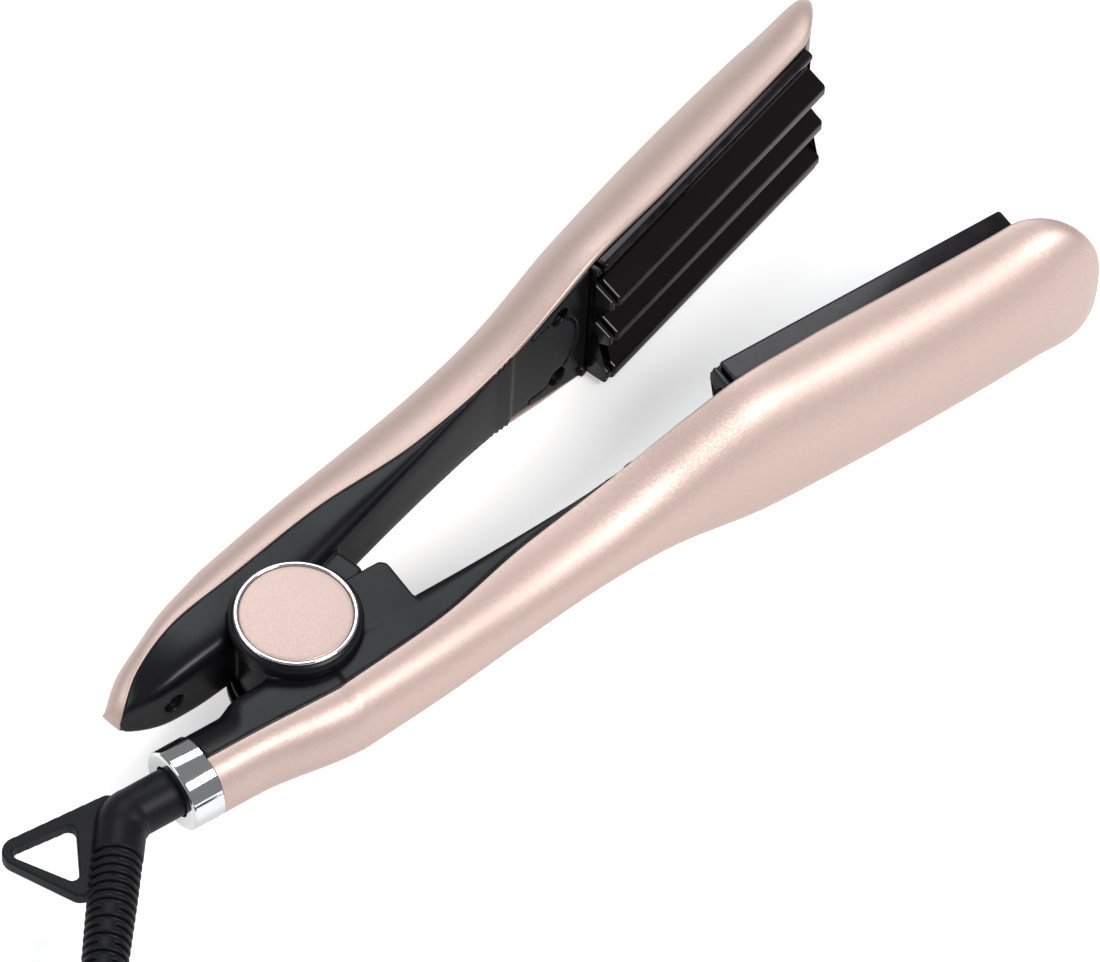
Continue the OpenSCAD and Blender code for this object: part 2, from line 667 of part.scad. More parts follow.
module on_top() { in_lower() children(); }
module on_bottom() { in_lower() mirror([0, 0, 1]) children(); }
module upper_pivot_cap() { color(black) on_top() pivot_cap(); }
module lower_pivot_cap() { color(black) on_bottom() pivot_cap(); }
module upper_chrome_ring() { color([0.9, 0.9, 0.92]) on_top() chrome_ring(); }
module lower_chrome_ring() { color([0.9, 0.9, 0.92]) on_bottom() chrome_ring(); }
module upper_pivot_button() { color(rose) on_top() pivot_button(); }
module lower_pivot_button() { color(rose) on_bottom() pivot_button(); }

// ---- Ferrule and swivelling strain relief ----

spigot_r = ferrule_r - 1.3;
spigot_len = ferrule_len - 2.4;
swivel_r = spigot_r - 2;

module ferrule() {
    color([0.9, 0.9, 0.92]) in_lower() translate([ferrule_rear, cord_v, 0]) rotate([0, 90, 0])
        rotate_extrude($fn = fine) polygon([[relief_r + 0.45, 0], [ferrule_r - 0.4, 0], [ferrule_r, 0.4],
            [ferrule_r, ferrule_len - 0.2], [ferrule_r - 0.2, ferrule_len], [spigot_r, ferrule_len],
            [spigot_r, 2.4], [relief_r + 0.45, 2.4]]);
}

elbow_u = -61.4;
elbow_r = 8;
elbow_leg = elbow_r * tan(relief_bend / 2);
relief_end_r = 5.2;
groove_start = 11.5;
groove_w = 1.1;
groove_depth = 1.2;
groove_count = floor((relief_len - 2 - groove_start) / groove_pitch);
full_grooves = 6;

// Radius of the strain relief at a distance after the bend
function relief_radius(t) = relief_r - 0.1
    + (relief_end_r - relief_r + 0.1) * pow(max(0, t - groove_start) / (relief_len - groove_start), 1.6);

module hang_loop() {
    translate([elbow_u, cord_v, 0]) linear_extrude(loop_t, center = true) difference() {
        hull() {
            translate([-1.2, 4.2]) circle(r = 3, $fn = 32);
            translate([-25.9, 4.9]) circle(r = 4.1, $fn = 48);
            translate([-18.8, -10.8]) circle(r = 3.4, $fn = 32);
            translate([-10.5, -9.5]) circle(r = 2, $fn = 32);
        }
        hull() {
            translate([-25.8, 4.3]) circle(r = 1.9, $fn = 32);
            translate([-13.2, 3]) circle(r = 1.9, $fn = 32);
            translate([-19, -7.5]) circle(r = 1.7, $fn = 32);
        }
    }
}

// One ring of the strain relief: s runs along it from the ferrule, with the bend between two straights
relief_sides = 24;
straight = ferrule_rear + 4 - elbow_u - elbow_leg;
bend_len = elbow_r * relief_bend * PI / 180;
function relief_ring(s, r, cut = 0) =
    let (a = relief_bend * min(max((s - straight) / bend_len, 0), 1),
        far = max(0, s - straight - bend_len),
        c = [elbow_u + elbow_leg + straight - min(s, straight) - elbow_r * sin(a) - far * cos(a),
            cord_v - elbow_r * (1 - cos(a)) - far * sin(a)])
    [for (k = [0:relief_sides - 1])
        let (b = 360 * (k + 0.5) / relief_sides, q = r - (abs(cos(b)) < 0.9 ? cut : 0))
        [c[0] - q * sin(b) * sin(a), c[1] + q * sin(b) * cos(a), q * cos(b)]];
// Place along the strain relief for a distance t after the middle of the bend
function after_bend(t) = straight + bend_len - elbow_leg + t;

module strain_relief() {
    color(black) in_lower() {
        // flange that is held behind the ferrule
        translate([ferrule_rear + 2.6, cord_v, 0]) rotate([0, 90, 0])
            cylinder(r = swivel_r, h = 3.6, $fn = fine);
        loft(concat(
            [relief_ring(0, relief_r), relief_ring(straight, relief_r)],
            [for (k = [1:6]) relief_ring(straight + bend_len * k / 6, relief_r)],
            [relief_ring(after_bend(groove_start - 2.2), relief_r)],
            // the first grooves go all round, then every second one is a pair of slots
            [for (k = [0:groove_count - 1])
                let (t = groove_start + k * groove_pitch, r = relief_radius(t), q = relief_radius(t + groove_w),
                    full = k < full_grooves || k % 2 == 0)
                each [relief_ring(after_bend(t), r),
                    relief_ring(after_bend(t + 0.06), r - (full ? groove_depth : 0), full ? 0 : groove_depth),
                    relief_ring(after_bend(t + groove_w - 0.06), q - (full ? groove_depth : 0),
                        full ? 0 : groove_depth),
                    relief_ring(after_bend(t + groove_w), q)]],
            [relief_ring(after_bend(relief_len), relief_end_r)]));
        hang_loop();
    }
}

// ---- Cord: leaves the strain relief, comes down to the floor and is coiled just behind ----

cord_r = cord_d / 2;
tie_t = 0.6;
plug_t = 13.8;
floor_z = mid_z - paddle_r;
cord_z = floor_z + tie_t + cord_r;
relief_out = [elbow_u - relief_len * cos(relief_bend), cord_v - relief_len * sin(relief_bend), mid_z];

// Points of the first stretch: straight out of the strain relief, down to the floor, into the coil
lead_points = [[-107.5, -75, 14.9], [-114.4, -84.3, 11.9], [-121, -93.9, 7.8], [-126.8, -103.8, 3.6],
    [-131.4, -114.2, -0.3], [-134.9, -124.6, -3.2]];

// The coil spirals in on the floor, climbs a layer in half a turn and spirals out again
coil_in_r = 24.5;
coil_pitch = cord_d + 0.6;
coil_in = 3.5;
coil_climb = 0.5;
coil_out = 3.25;
coil_dip = 1;
coil_start_r = coil_in_r + coil_in * coil_pitch;
coil_turns = coil_in + coil_climb + coil_out;
coil_start = [-137, -146];
coil_centre = coil_start + [coil_start_r, 0];
coil_rings = 24;

function climb_share(t) = min(max((t - coil_in) / coil_climb, 0), 1);
function coil_radius(t) = t < coil_in ? coil_start_r - coil_pitch * t
    : coil_in_r - coil_dip * sin(180 * climb_share(t)) + coil_pitch * max(0, t - coil_in - coil_climb);
function coil_height(t) = cord_z + coil_pitch * ease(climb_share(t));
function coil_point(t) = [coil_centre[0] - coil_radius(t) * cos(360 * t),
    coil_centre[1] - coil_radius(t) * sin(360 * t), coil_height(t)];
wound_points = [for (i = [0:coil_turns * coil_rings]) coil_point(i / coil_rings)];
wound_end = wound_points[len(wound_points) - 1];
coil_points = concat([wound_points[0] + [0, cord_d, 0]], wound_points, [wound_end + [cord_d, 0, 0]]);
coil_end = wound_end + [cord_d, 0, 0];

// Points of the last stretch, from the coil down to the plug
plug_angle = 29;
plug_drop = cord_z + coil_pitch - floor_z - plug_t / 2;
plug_run = [[cord_d, 0, 0], [16, 0.9, -0.15], [26, 3.2, -0.4], [36, 6.9, -0.75], [45, 11.3, -1]];

// A tube through points, with its rings square to the way it runs
function direction(p, i) =
    let (d = p[min(i + 1, len(p) - 1)] - p[max(i - 1, 0)]) d / norm(d);
function tube_ring(p, i, r, sides) =
    let (d = direction(p, i), side = cross(d, [0, 0, 1]) / norm(cross(d, [0, 0, 1])), up = cross(side, d))
    [for (k = [0:sides - 1]) let (a = 360 * k / sides) p[i] + r * (side * cos(a) + up * sin(a))];
module tube(p, r, sides) {
    loft([for (i = [0:len(p) - 1]) tube_ring(p, i, r, sides)]);
}

relief_way = [-cos(relief_bend), -sin(relief_bend), 0];
lead_route = concat([relief_out, relief_out + cord_d * relief_way], lead_points,
    [coil_points[0] + [0, cord_d, 0], coil_points[0]]);
plug_near = coil_end + [45, 11.3, -plug_drop];
plug_at = plug_near + cord_d * [cos(plug_angle), sin(plug_angle), 0];
plug_route = concat([coil_end], [for (p = plug_run) coil_end + [p[0], p[1], p[2] * plug_drop]], [plug_at]);

function way(p) = len(p) < 2 ? 0 : [for (i = [1:len(p) - 1]) norm(p[i] - p[i - 1])] * [for (i = [1:len(p) - 1]) 1];
coil_gap = min([for (i = [0:len(coil_points) - 13], j = [i + 12:len(coil_points) - 1])
    norm(coil_points[i] - coil_points[j])]) - cord_d;
echo("least gap of the coil to itself, mm", coil_gap);
echo("cord length, mm", way(lead_route) + way(coil_points) + way(plug_route));

module cord_lead() { color(black) tube(lead_route, cord_r, 8); }
module cord_coil() { color(black) tube(coil_points, cord_r, 6); }
module plug_lead() { color(black) tube(plug_route, cord_r, 8); }

// Band round the coil's turns
module cord_tie() {
    low = coil_in_r - cord_r - tie_t;
    high = coil_start_r + cord_r + tie_t;
    color([0.12, 0.12, 0.13]) translate([coil_centre[0], coil_centre[1], floor_z]) rotate([0, 0, -30])
        translate([0, 3.5, 0]) rotate([90, 0, 0]) linear_extrude(7) difference() {
            translate([low, 0]) square([high - low, coil_pitch + cord_d + 2 * tie_t]);
            translate([low + tie_t, tie_t]) square([high - low - 2 * tie_t, coil_pitch + cord_d]);
        }
}

plug_len = 36;
plug_w = 35;
pin_gap = 18.6;
plug_pin_r = 2;
plug_pin_len = 19;

module at_plug() { translate(plug_at) rotate([0, 0, plug_angle]) rotate([0, 90, 0]) children(); }

module plug_section(w, t) {
    hull() for (s = [-1, 1])
        translate([0, s * (w - t) / 2]) circle(r = t / 2, $fn = 32);
}

module plug_body() {
    color(black) at_plug() {
        cylinder(r = cord_r + 1.4, h = 9, $fn = 48);
        hull() {
            translate([0, 0, 6]) linear_extrude(1) plug_section(12, 9);
            translate([0, 0, 22]) linear_extrude(1) plug_section(26, plug_t - 0.6);
            translate([0, 0, plug_len - 1]) linear_extrude(1) plug_section(plug_w - 9, plug_t);
        }
    }
}

module plug_pins() {
    color(steel) at_plug() for (s = [-1, 1])
        translate([0, s * pin_gap / 2, plug_len]) cylinder(r = plug_pin_r, h = plug_pin_len, $fn = 48);
}

lower_cover();
lower_housing();
lower_frame();
lower_plate();
lower_plate_holder();
lower_heater();
lower_thermostat();
lower_wires();
lower_screws();
circuit_board();
power_button();
indicator_lens();
upper_cover();
upper_housing();
upper_frame();
upper_plate();
upper_plate_holder();
upper_heater();
upper_thermostat();
upper_wires();
upper_screws();
pivot_pin();
pivot_washers();
torsion_spring();
upper_pivot_cap();
lower_pivot_cap();
upper_chrome_ring();
lower_chrome_ring();
upper_pivot_button();
lower_pivot_button();
ferrule();
strain_relief();
cord_lead();
cord_coil();
plug_lead();
cord_tie();
plug_body();
plug_pins();
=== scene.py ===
import bpy
import bmesh
import json
import math
import numpy as np
from mathutils import Matrix, Vector

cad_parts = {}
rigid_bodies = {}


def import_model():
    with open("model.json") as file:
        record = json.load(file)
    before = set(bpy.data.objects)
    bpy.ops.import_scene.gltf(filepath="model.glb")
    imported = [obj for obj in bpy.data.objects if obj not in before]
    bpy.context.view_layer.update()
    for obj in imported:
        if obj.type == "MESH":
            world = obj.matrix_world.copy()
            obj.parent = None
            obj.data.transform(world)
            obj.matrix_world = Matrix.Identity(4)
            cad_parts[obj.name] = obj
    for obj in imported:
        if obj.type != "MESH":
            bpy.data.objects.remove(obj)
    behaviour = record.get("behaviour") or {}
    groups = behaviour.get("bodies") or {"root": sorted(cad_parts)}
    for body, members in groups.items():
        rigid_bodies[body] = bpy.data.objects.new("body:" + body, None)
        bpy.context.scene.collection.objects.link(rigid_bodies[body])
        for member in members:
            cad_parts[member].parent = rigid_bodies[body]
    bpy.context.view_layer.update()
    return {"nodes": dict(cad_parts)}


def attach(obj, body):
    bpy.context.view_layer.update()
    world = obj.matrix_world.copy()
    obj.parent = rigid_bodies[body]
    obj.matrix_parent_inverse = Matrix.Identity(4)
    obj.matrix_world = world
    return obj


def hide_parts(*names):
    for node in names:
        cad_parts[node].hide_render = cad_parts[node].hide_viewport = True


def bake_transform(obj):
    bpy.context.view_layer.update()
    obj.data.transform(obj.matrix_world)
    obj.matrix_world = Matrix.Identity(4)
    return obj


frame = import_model()
nodes = frame["nodes"]
scene = bpy.context.scene
mm = 0.001
print("frame loaded:", len(nodes), "nodes")

# ---- view ----

view = {
    "position": (-0.935198, -1.319212, 2.396514),
    "right": (0.822923, -0.567091, 0.034719),
    "up": (0.448412, 0.6858, 0.573241),
    "back": (-0.34889, -0.456164, 0.818651),
    "lens": 392.727, "sensor": 36.0,
}


def placeCamera(v):
    lens = bpy.data.cameras.new("productCamera")
    lens.sensor_fit = "HORIZONTAL"
    lens.sensor_width = v["sensor"]
    lens.lens = v["lens"]
    lens.clip_start = 0.05
    lens.clip_end = 20
    cam = bpy.data.objects.new("productCamera", lens)
    scene.collection.objects.link(cam)
    turn = Matrix((v["right"], v["up"], v["back"])).transposed().to_4x4()
    cam.matrix_world = Matrix.Translation(v["position"]) @ turn
    scene.camera = cam


placeCamera(view)

# ---- small mesh tools ----


def newObject(name, mesh):
    mesh.name = name
    thing = bpy.data.objects.new(name, mesh)
    scene.collection.objects.link(thing)
    return thing


def edited(mesh, change):
    bm = bmesh.new()
    bm.from_mesh(mesh)
    change(bm)
    bm.to_mesh(mesh)
    bm.free()
    return mesh


def creased(mesh, angle=30):
    mesh.shade_smooth()
    mesh.set_sharp_from_angle(angle=math.radians(angle))
    return mesh


def meshFrom(points, faces, sharp=180):
    # closed shell from points in metres, with its faces turned outwards
    def clean(bm):
        bmesh.ops.remove_doubles(bm, verts=bm.verts, dist=1e-6)
        bmesh.ops.dissolve_degenerate(bm, edges=bm.edges, dist=1e-7)
        bmesh.ops.recalc_face_normals(bm, faces=bm.faces)
    mesh = bpy.data.meshes.new("shell")
    mesh.from_pydata([tuple(p) for p in points], [], faces)
    return creased(edited(mesh, clean), sharp)


def arc(x, y, r, start, end, steps):
    turns = [math.radians(start + (end - start) * i / steps) for i in range(steps + 1)]
    return [(x + r * math.cos(a), y + r * math.sin(a)) for a in turns]


def disc(x, y, r, steps):
    return arc(x, y, r, 0, 360, steps)[:-1]


def loftMesh(rings, sharp=180):
    # rings of equal count joined by quads, with a fan on both ends
    count = len(rings[0])
    points = [p for ring in rings for p in ring]
    faces = []
    for j in range(len(rings) - 1):
        for i in range(count):
            k = (i + 1) % count
            faces.append((j * count + i, (j + 1) * count + i, (j + 1) * count + k, j * count + k))
    for j in (0, len(rings) - 1):
        top = len(points)
        points.append(sum((Vector(p) for p in rings[j]), Vector()) / count)
        faces += [(top, j * count + i, j * count + (i + 1) % count) for i in range(count)]
    return meshFrom(points, faces, sharp)


def latheMesh(profile, place, steps=128, sharp=32):
    # profile of (radius, height) turned about an axis; place puts (x, y, height) in the shared frame
    points, faces, starts = [], [], []
    for r, h in profile:
        starts.append(len(points))
        points += [place(x, y, h) for x, y in disc(0, 0, r, steps)] if r > 1e-6 else [place(0, 0, h)]
    for j in range(len(profile) - 1):
        ends = [(starts[k], profile[k][0] > 1e-6) for k in (j, j + 1)]
        for i in range(steps):
            (a, d), (b, c) = [(n + i * wide, n + (i + 1) % steps * wide) for n, wide in ends]
            face = tuple(dict.fromkeys((a, b, c, d)))
            if len(face) > 2:
                faces.append(face)
    if profile[0][0] > 1e-6 and profile[0] != profile[-1]:
        faces += [tuple(range(n, n + steps)) for n in (starts[0], starts[-1])]
    return meshFrom(points, faces, sharp)


def prismMesh(outline, low, high, place):
    # flat outline of (a, b) carried from low to high
    count = len(outline)
    points = [place(a, b, h) for h in (low, high) for a, b in outline]
    faces = [(i, (i + 1) % count, count + (i + 1) % count, count + i) for i in range(count)]
    return meshFrom(points, faces + [tuple(range(count)), tuple(range(count, 2 * count))])


def joined(meshes):
    def gather(bm):
        for mesh in meshes:
            bm.from_mesh(mesh)
            bpy.data.meshes.remove(mesh)
    return edited(bpy.data.meshes.new("joined"), gather)


def baked(mesh, setUp):
    # runs modifiers on a mesh and returns the plain result; setUp gives the helper objects it made
    thing = newObject("blank", mesh)
    helpers = setUp(thing) or []
    graph = bpy.context.evaluated_depsgraph_get()
    graph.update()
    out = bpy.data.meshes.new_from_object(thing.evaluated_get(graph), depsgraph=graph)
    for used in [thing] + helpers:
        old = used.data
        bpy.data.objects.remove(used)
        bpy.data.meshes.remove(old)
    return out


def cut(mesh, cutters, operation="DIFFERENCE"):
    # takes the cutters off a closed mesh, one after another
    def setUp(thing):
        tools = [newObject("tool", cutter) for cutter in cutters]
        for tool in tools:
            mod = thing.modifiers.new("cut", "BOOLEAN")
            mod.operation = operation
            mod.solver = "EXACT"
            mod.object = tool
        return tools
    return baked(mesh, setUp)


def fused(meshes, voxel, smooth, rounds):
    # overlapping closed bodies melted into one moulded skin with soft inner corners
    def setUp(thing):
        melt = thing.modifiers.new("melt", "REMESH")
        melt.mode = "VOXEL"
        melt.voxel_size = voxel * mm
        melt.use_smooth_shade = True
        ease = thing.modifiers.new("ease", "SMOOTH")
        ease.factor = smooth
        ease.iterations = rounds
    mesh = baked(joined(meshes), setUp)
    mesh.shade_smooth()
    return mesh


def markEdges(mesh, strength=1.0):
    # attribute "edge": 1 on outward corners, 0.5 on flats, 0 in inward corners
    count = len(mesh.vertices)
    co = np.empty(count * 3)
    no = np.empty(count * 3)
    mesh.vertices.foreach_get("co", co)
    mesh.vertices.foreach_get("normal", no)
    co, no = co.reshape(-1, 3), no.reshape(-1, 3)
    ends = np.empty(len(mesh.edges) * 2, int)
    mesh.edges.foreach_get("vertices", ends)
    a, b = ends.reshape(-1, 2).T
    way = co[b] - co[a]
    size = np.linalg.norm(way, axis=1) + 1e-9
    bend = np.zeros(count)
    near = np.zeros(count)
    for i, sign in ((a, -1), (b, 1)):
        np.add.at(bend, i, sign * np.einsum("ij,ij->i", way, no[i]) / size)
        np.add.at(near, i, 1)
    value = 0.5 + strength * bend / np.maximum(near, 1)
    for _ in range(2):
        total = value.copy()
        np.add.at(total, a, value[b])
        np.add.at(total, b, value[a])
        value = total / (1 + near)
    layer = mesh.attributes.new("edge", "FLOAT", "POINT")
    layer.data.foreach_set("value", np.clip(value, 0, 1).astype(np.float32))


def finished(name, mesh, body, slot, node, finish=None):
    # the visible piece that stands for one CAD node
    thing = newObject(name, mesh)
    mesh.materials.clear()
    mesh.materials.append(finishes[finish or slot])
    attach(thing, body)
    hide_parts(node)


# ---- node helpers ----


def feed(node, inputs):
    # a value that is a socket is linked, any other is set
    for key, value in inputs.items():
        if isinstance(value, bpy.types.NodeSocket):
            node.id_data.links.new(value, node.inputs[key])
        else:
            node.inputs[key].default_value = value


def nodeMaker(tree, family="ShaderNode"):
    def add(kind, inputs=None, **settings):
        node = tree.nodes.new(family + kind)
        for key, value in settings.items():
            setattr(node, key, value)
        feed(node, inputs or {})
        return node
    return add


def mathMaker(tree):
    add = nodeMaker(tree)
    return lambda operation, *values: add("Math", dict(enumerate(values)), operation=operation).outputs[0]


def emptyTree(owner):
    owner.use_nodes = True
    owner.node_tree.nodes.clear()
    return owner.node_tree


def spread(tree, value, low=0.0, high=1.0, fromLow=0.3, fromHigh=0.7):
    return nodeMaker(tree)("MapRange", {"Value": value, "From Min": fromLow, "From Max": fromHigh,
                                        "To Min": low, "To Max": high}).outputs[0]


def mixed(tree, factor, a, b):
    return nodeMaker(tree)("Mix", {"Factor": factor, 6: a, 7: b}, data_type="RGBA").outputs[2]


def bumped(tree, inputs):
    return nodeMaker(tree)("Bump", inputs).outputs[0]


def noiseAt(tree, size, detail, rough):
    # noise whose marks are about size mm wide
    place = nodeMaker(tree)("TexCoord").outputs["Object"]
    scale = mathMaker(tree)("DIVIDE", 1000.0, size)
    return nodeMaker(tree)("TexNoise", {"Vector": place, "Scale": scale, "Detail": detail,
                                        "Roughness": rough}).outputs["Fac"]


# ---- shared finish effects, as shader groups ----


def newEffect(name, inputs, build):
    tree = bpy.data.node_groups.new(name, "ShaderNodeTree")
    for label, value in inputs.items():
        tree.interface.new_socket(label, in_out="INPUT", socket_type="NodeSocketFloat").default_value = value
    results = build(tree, tree.nodes.new("NodeGroupInput").outputs)
    for label in results:
        kind = "NodeSocketVector" if label == "Normal" else "NodeSocketFloat"
        tree.interface.new_socket(label, in_out="OUTPUT", socket_type=kind)
    feed(tree.nodes.new("NodeGroupOutput"), results)
    return tree


def grainParts(tree, given):
    # moulded or sprayed skin: fine grain with slow cloudy change under it
    fine = noiseAt(tree, given["Grain Size"], 2.0, 0.6)
    slow = noiseAt(tree, given["Cloud Size"], 3.0, 0.5)
    both = nodeMaker(tree)("Mix", {"Factor": given["Cloud Share"], "A": fine, "B": slow}, data_type="FLOAT")
    return {"Value": both.outputs[0], "Height": fine, "Cloud": slow}


def cornerTintParts(tree, given):
    # outward corners lighter, broken up by noise: rubbed wear, plus painted highlight on the finishes that ask for it;
    # inward corners tinted: dust where the tint is lighter than the surface, painted shade where it is darker
    calc = mathMaker(tree)
    edge = nodeMaker(tree)("Attribute", attribute_name="edge").outputs["Fac"]
    patch = noiseAt(tree, given["Patch Size"], 4.0, 0.65)
    outerTint = calc("MULTIPLY", spread(tree, edge, 0, 1, 0.54, 0.66), spread(tree, patch, 0, 1, 0.35, 0.65))
    innerTint = calc("MULTIPLY", spread(tree, edge, 0, 1, 0.46, 0.36), given["Dust"])
    return {"Worn": calc("MULTIPLY", outerTint, given["Wear"]),
            "Dusty": calc("MULTIPLY", innerTint, calc("GREATER_THAN", edge, 0.0001))}


def flakeParts(tree, given):
    # metal flakes in paint: small cells that each lean their own way and catch the light
    add = nodeMaker(tree)
    place = add("TexCoord").outputs["Object"]
    scale = mathMaker(tree)("DIVIDE", 1000.0, given["Flake Size"])
    cells = add("TexVoronoi", {"Vector": place, "Scale": scale, "Randomness": 1.0}).outputs["Color"]
    lean = add("VectorMath", {0: cells, 1: (0.5, 0.5, 0.5)}, operation="SUBTRACT").outputs[0]
    lean = add("VectorMath", {0: lean, "Scale": given["Lean"]}, operation="SCALE").outputs[0]
    surface = add("NewGeometry").outputs["Normal"]
    total = add("VectorMath", {0: surface, 1: lean}, operation="ADD").outputs[0]
    return {"Normal": add("VectorMath", {0: total}, operation="NORMALIZE").outputs[0],
            "Glint": add("SeparateColor", {"Color": cells}).outputs[0],
            "Mottle": noiseAt(tree, given["Soft Size"], 3.0, 0.75)}


effects = {
    "grain": newEffect("mouldedGrain", {"Grain Size": 0.4, "Cloud Size": 18.0, "Cloud Share": 0.4}, grainParts),
    # corner tints: rubbed wear and painted highlight on outward corners, dust and painted shade in inward corners
    "wear": newEffect("edgeWear", {"Wear": 0.5, "Dust": 0.3, "Patch Size": 6.0}, cornerTintParts),
    "flake": newEffect("metalFlake", {"Flake Size": 0.35, "Lean": 0.2, "Soft Size": 0.8}, flakeParts),
}
print("shared effects ready")

# ---- finishes ----


def newFinish(name, plain):
    # plain holds the numbers that are the same all over the surface
    finish = bpy.data.materials.new(name)
    tree = emptyTree(finish)
    shader = nodeMaker(tree)("BsdfPrincipled", plain)
    feed(tree.nodes.new("ShaderNodeOutputMaterial"), {"Surface": shader.outputs[0]})
    return finish, tree, shader


def useEffect(tree, name, values):
    return nodeMaker(tree)("Group", values, node_tree=effects[name]).outputs


def roseFinish():
    finish, tree, shader = newFinish("roseSatin", {"Specular IOR Level": 0.55, "Sheen Weight": 0.12,
                                                   "Sheen Roughness": 0.45})
    calc = mathMaker(tree)
    flake = useEffect(tree, "flake", {"Flake Size": 0.28, "Lean": 0.07, "Soft Size": 0.6})
    grain = useEffect(tree, "grain", {"Grain Size": 0.5, "Cloud Size": 40.0})
    wear = useEffect(tree, "wear", {"Wear": 0.35, "Dust": 0.25, "Patch Size": 5.0})
    speck = calc("ADD", calc("MULTIPLY", flake["Glint"], 0.45), calc("MULTIPLY", flake["Mottle"], 0.55))
    deep, pale, warm = (0.56, 0.41, 0.36, 1), (0.70, 0.56, 0.51, 1), (0.66, 0.46, 0.37, 1)
    # outward corners paler: painted highlight with some rubbed wear; inward corners darker brown: painted shade
    outerTint, innerTint = (0.82, 0.70, 0.66, 1), (0.42, 0.30, 0.26, 1)
    tone = mixed(tree, spread(tree, speck, 0.1, 0.9, 0.15, 0.85), deep, pale)
    tone = mixed(tree, spread(tree, grain["Cloud"], 0.0, 0.12), tone, warm)
    tone = mixed(tree, wear["Dusty"], mixed(tree, wear["Worn"], tone, outerTint), innerTint)
    feed(shader, {
        "Base Color": tone, "Roughness": spread(tree, flake["Mottle"], 0.42, 0.5),
        "Metallic": spread(tree, flake["Glint"], 0.4, 0.6, 0, 1),
        "Normal": bumped(tree, {"Strength": 0.1, "Distance": 0.00006, "Height": flake["Mottle"],
                                "Normal": flake["Normal"]})})
    return finish


def plasticFinish(name, dark, light, rough, grain, bumpHeight, gloss=0.5, wear=0.3, outerTint=None, cloud=30.0):
    finish, tree, shader = newFinish(name, {"Specular IOR Level": gloss})
    calc = mathMaker(tree)
    skin = useEffect(tree, "grain", {"Grain Size": grain, "Cloud Size": cloud})
    edge = useEffect(tree, "wear", {"Wear": wear, "Dust": 0.25, "Patch Size": 4.0})
    tone = mixed(tree, spread(tree, skin["Value"], 0.0, 1.0, 0.35, 0.65), (*dark, 1), (*light, 1))
    # outward corners lighter: rubbed wear, with painted highlight where a bright corner colour is given (wave plates,
    # scallop walls)
    tone = mixed(tree, edge["Worn"], tone, (*(outerTint or [min(1, c * 2.6 + 0.012) for c in light]), 1))
    base = spread(tree, skin["Cloud"], *rough)
    feed(shader, {
        # inward corners toward grey-brown: dust on the dark plastics, painted shade on the pale ones
        "Base Color": mixed(tree, edge["Dusty"], tone, (0.10, 0.095, 0.09, 1)),
        "Roughness": calc("SUBTRACT", base, calc("MULTIPLY", edge["Worn"], 0.1)),
        "Normal": bumped(tree, {"Strength": 0.3, "Distance": bumpHeight, "Height": skin["Height"]})})
    return finish


def metalFinish(name, tone, rough, grain=0.25, bumpHeight=0.000004, smudge=0.06):
    finish, tree, shader = newFinish(name, {"Metallic": 1.0, "Specular IOR Level": 0.5})
    skin = useEffect(tree, "grain", {"Grain Size": grain, "Cloud Size": 7.0})
    edge = useEffect(tree, "wear", {"Wear": 0.2, "Dust": 0.2, "Patch Size": 3.0})
    colour = mixed(tree, spread(tree, skin["Value"]), (*(c * 0.93 for c in tone), 1), (*tone, 1))
    feed(shader, {
        # inward corners darkened toward grey-brown: painted shade
        "Base Color": mixed(tree, edge["Dusty"], colour, (0.2, 0.19, 0.18, 1)),
        "Roughness": spread(tree, skin["Cloud"], rough, rough + smudge),
        "Normal": bumped(tree, {"Strength": 0.15, "Distance": bumpHeight, "Height": skin["Height"]})})
    return finish


# name, dark, light, roughness, grain in mm, bump in m, then gloss, outward corner tint strength, outward corner colour
# and cloud in mm
plastics = {
    "black_shell": ("blackSatin", (0.004, 0.004, 0.005), (0.008, 0.008, 0.0105), (0.30, 0.38), 0.35, 0.00003, 0.24),
    "frame": ("blackFrame", (0.003, 0.003, 0.0035), (0.006, 0.006, 0.0075), (0.22, 0.3), 0.3, 0.00002, 0.16),
    # glossPlate and darkHolder: their strong bright outward corners are painted highlight on the ridge crests and lips
    "plate_coat": ("glossPlate", (0.005, 0.0036, 0.0042), (0.008, 0.006, 0.007), (0.12, 0.17), 0.25, 0.000006,
                   0.24, 0.8, (0.11, 0.105, 0.12), 60.0),
    "holder": ("darkHolder", (0.004, 0.004, 0.0045), (0.009, 0.009, 0.01), (0.18, 0.26), 0.3, 0.00002,
               0.3, 0.7, (0.09, 0.09, 0.1)),
    "rubber": ("softBlack", (0.004, 0.004, 0.0055), (0.009, 0.009, 0.012), (0.42, 0.52), 0.4, 0.00003, 0.2),
    "nylon": ("whiteNylon", (0.62, 0.61, 0.58), (0.74, 0.73, 0.7), (0.45, 0.6), 0.4, 0.00002),
    "ceramic": ("heaterCeramic", (0.55, 0.52, 0.45), (0.74, 0.71, 0.62), (0.6, 0.8), 0.6, 0.00005),
    "wire": ("wireJacket", (0.42, 0.03, 0.03), (0.55, 0.05, 0.04), (0.4, 0.5), 0.5, 0.00002),
    "board": ("boardGreen", (0.02, 0.12, 0.06), (0.03, 0.17, 0.09), (0.35, 0.5), 0.8, 0.00002),
    "lens": ("redLens", (0.35, 0.02, 0.015), (0.5, 0.04, 0.03), (0.12, 0.2), 0.5, 0.00001),
}
finishes = {
    "rose": roseFinish(),
    "chrome": metalFinish("mirrorChrome", (0.86, 0.87, 0.88), 0.045),
    "steel": metalFinish("satinSteel", (0.62, 0.62, 0.63), 0.28, 0.4, 0.00001),
}
finishes.update({slot: plasticFinish(*look) for slot, look in plastics.items()})
print("finishes ready:", len(finishes))

# ---- floor and light ----

studio = {"floorDrop": 0.0002, "floorSize": 6.0, "floorTone": (0.93, 0.93, 0.93, 1), "floorGlow": 0.42,
          "fill": 0.46, "reflected": 0.5}


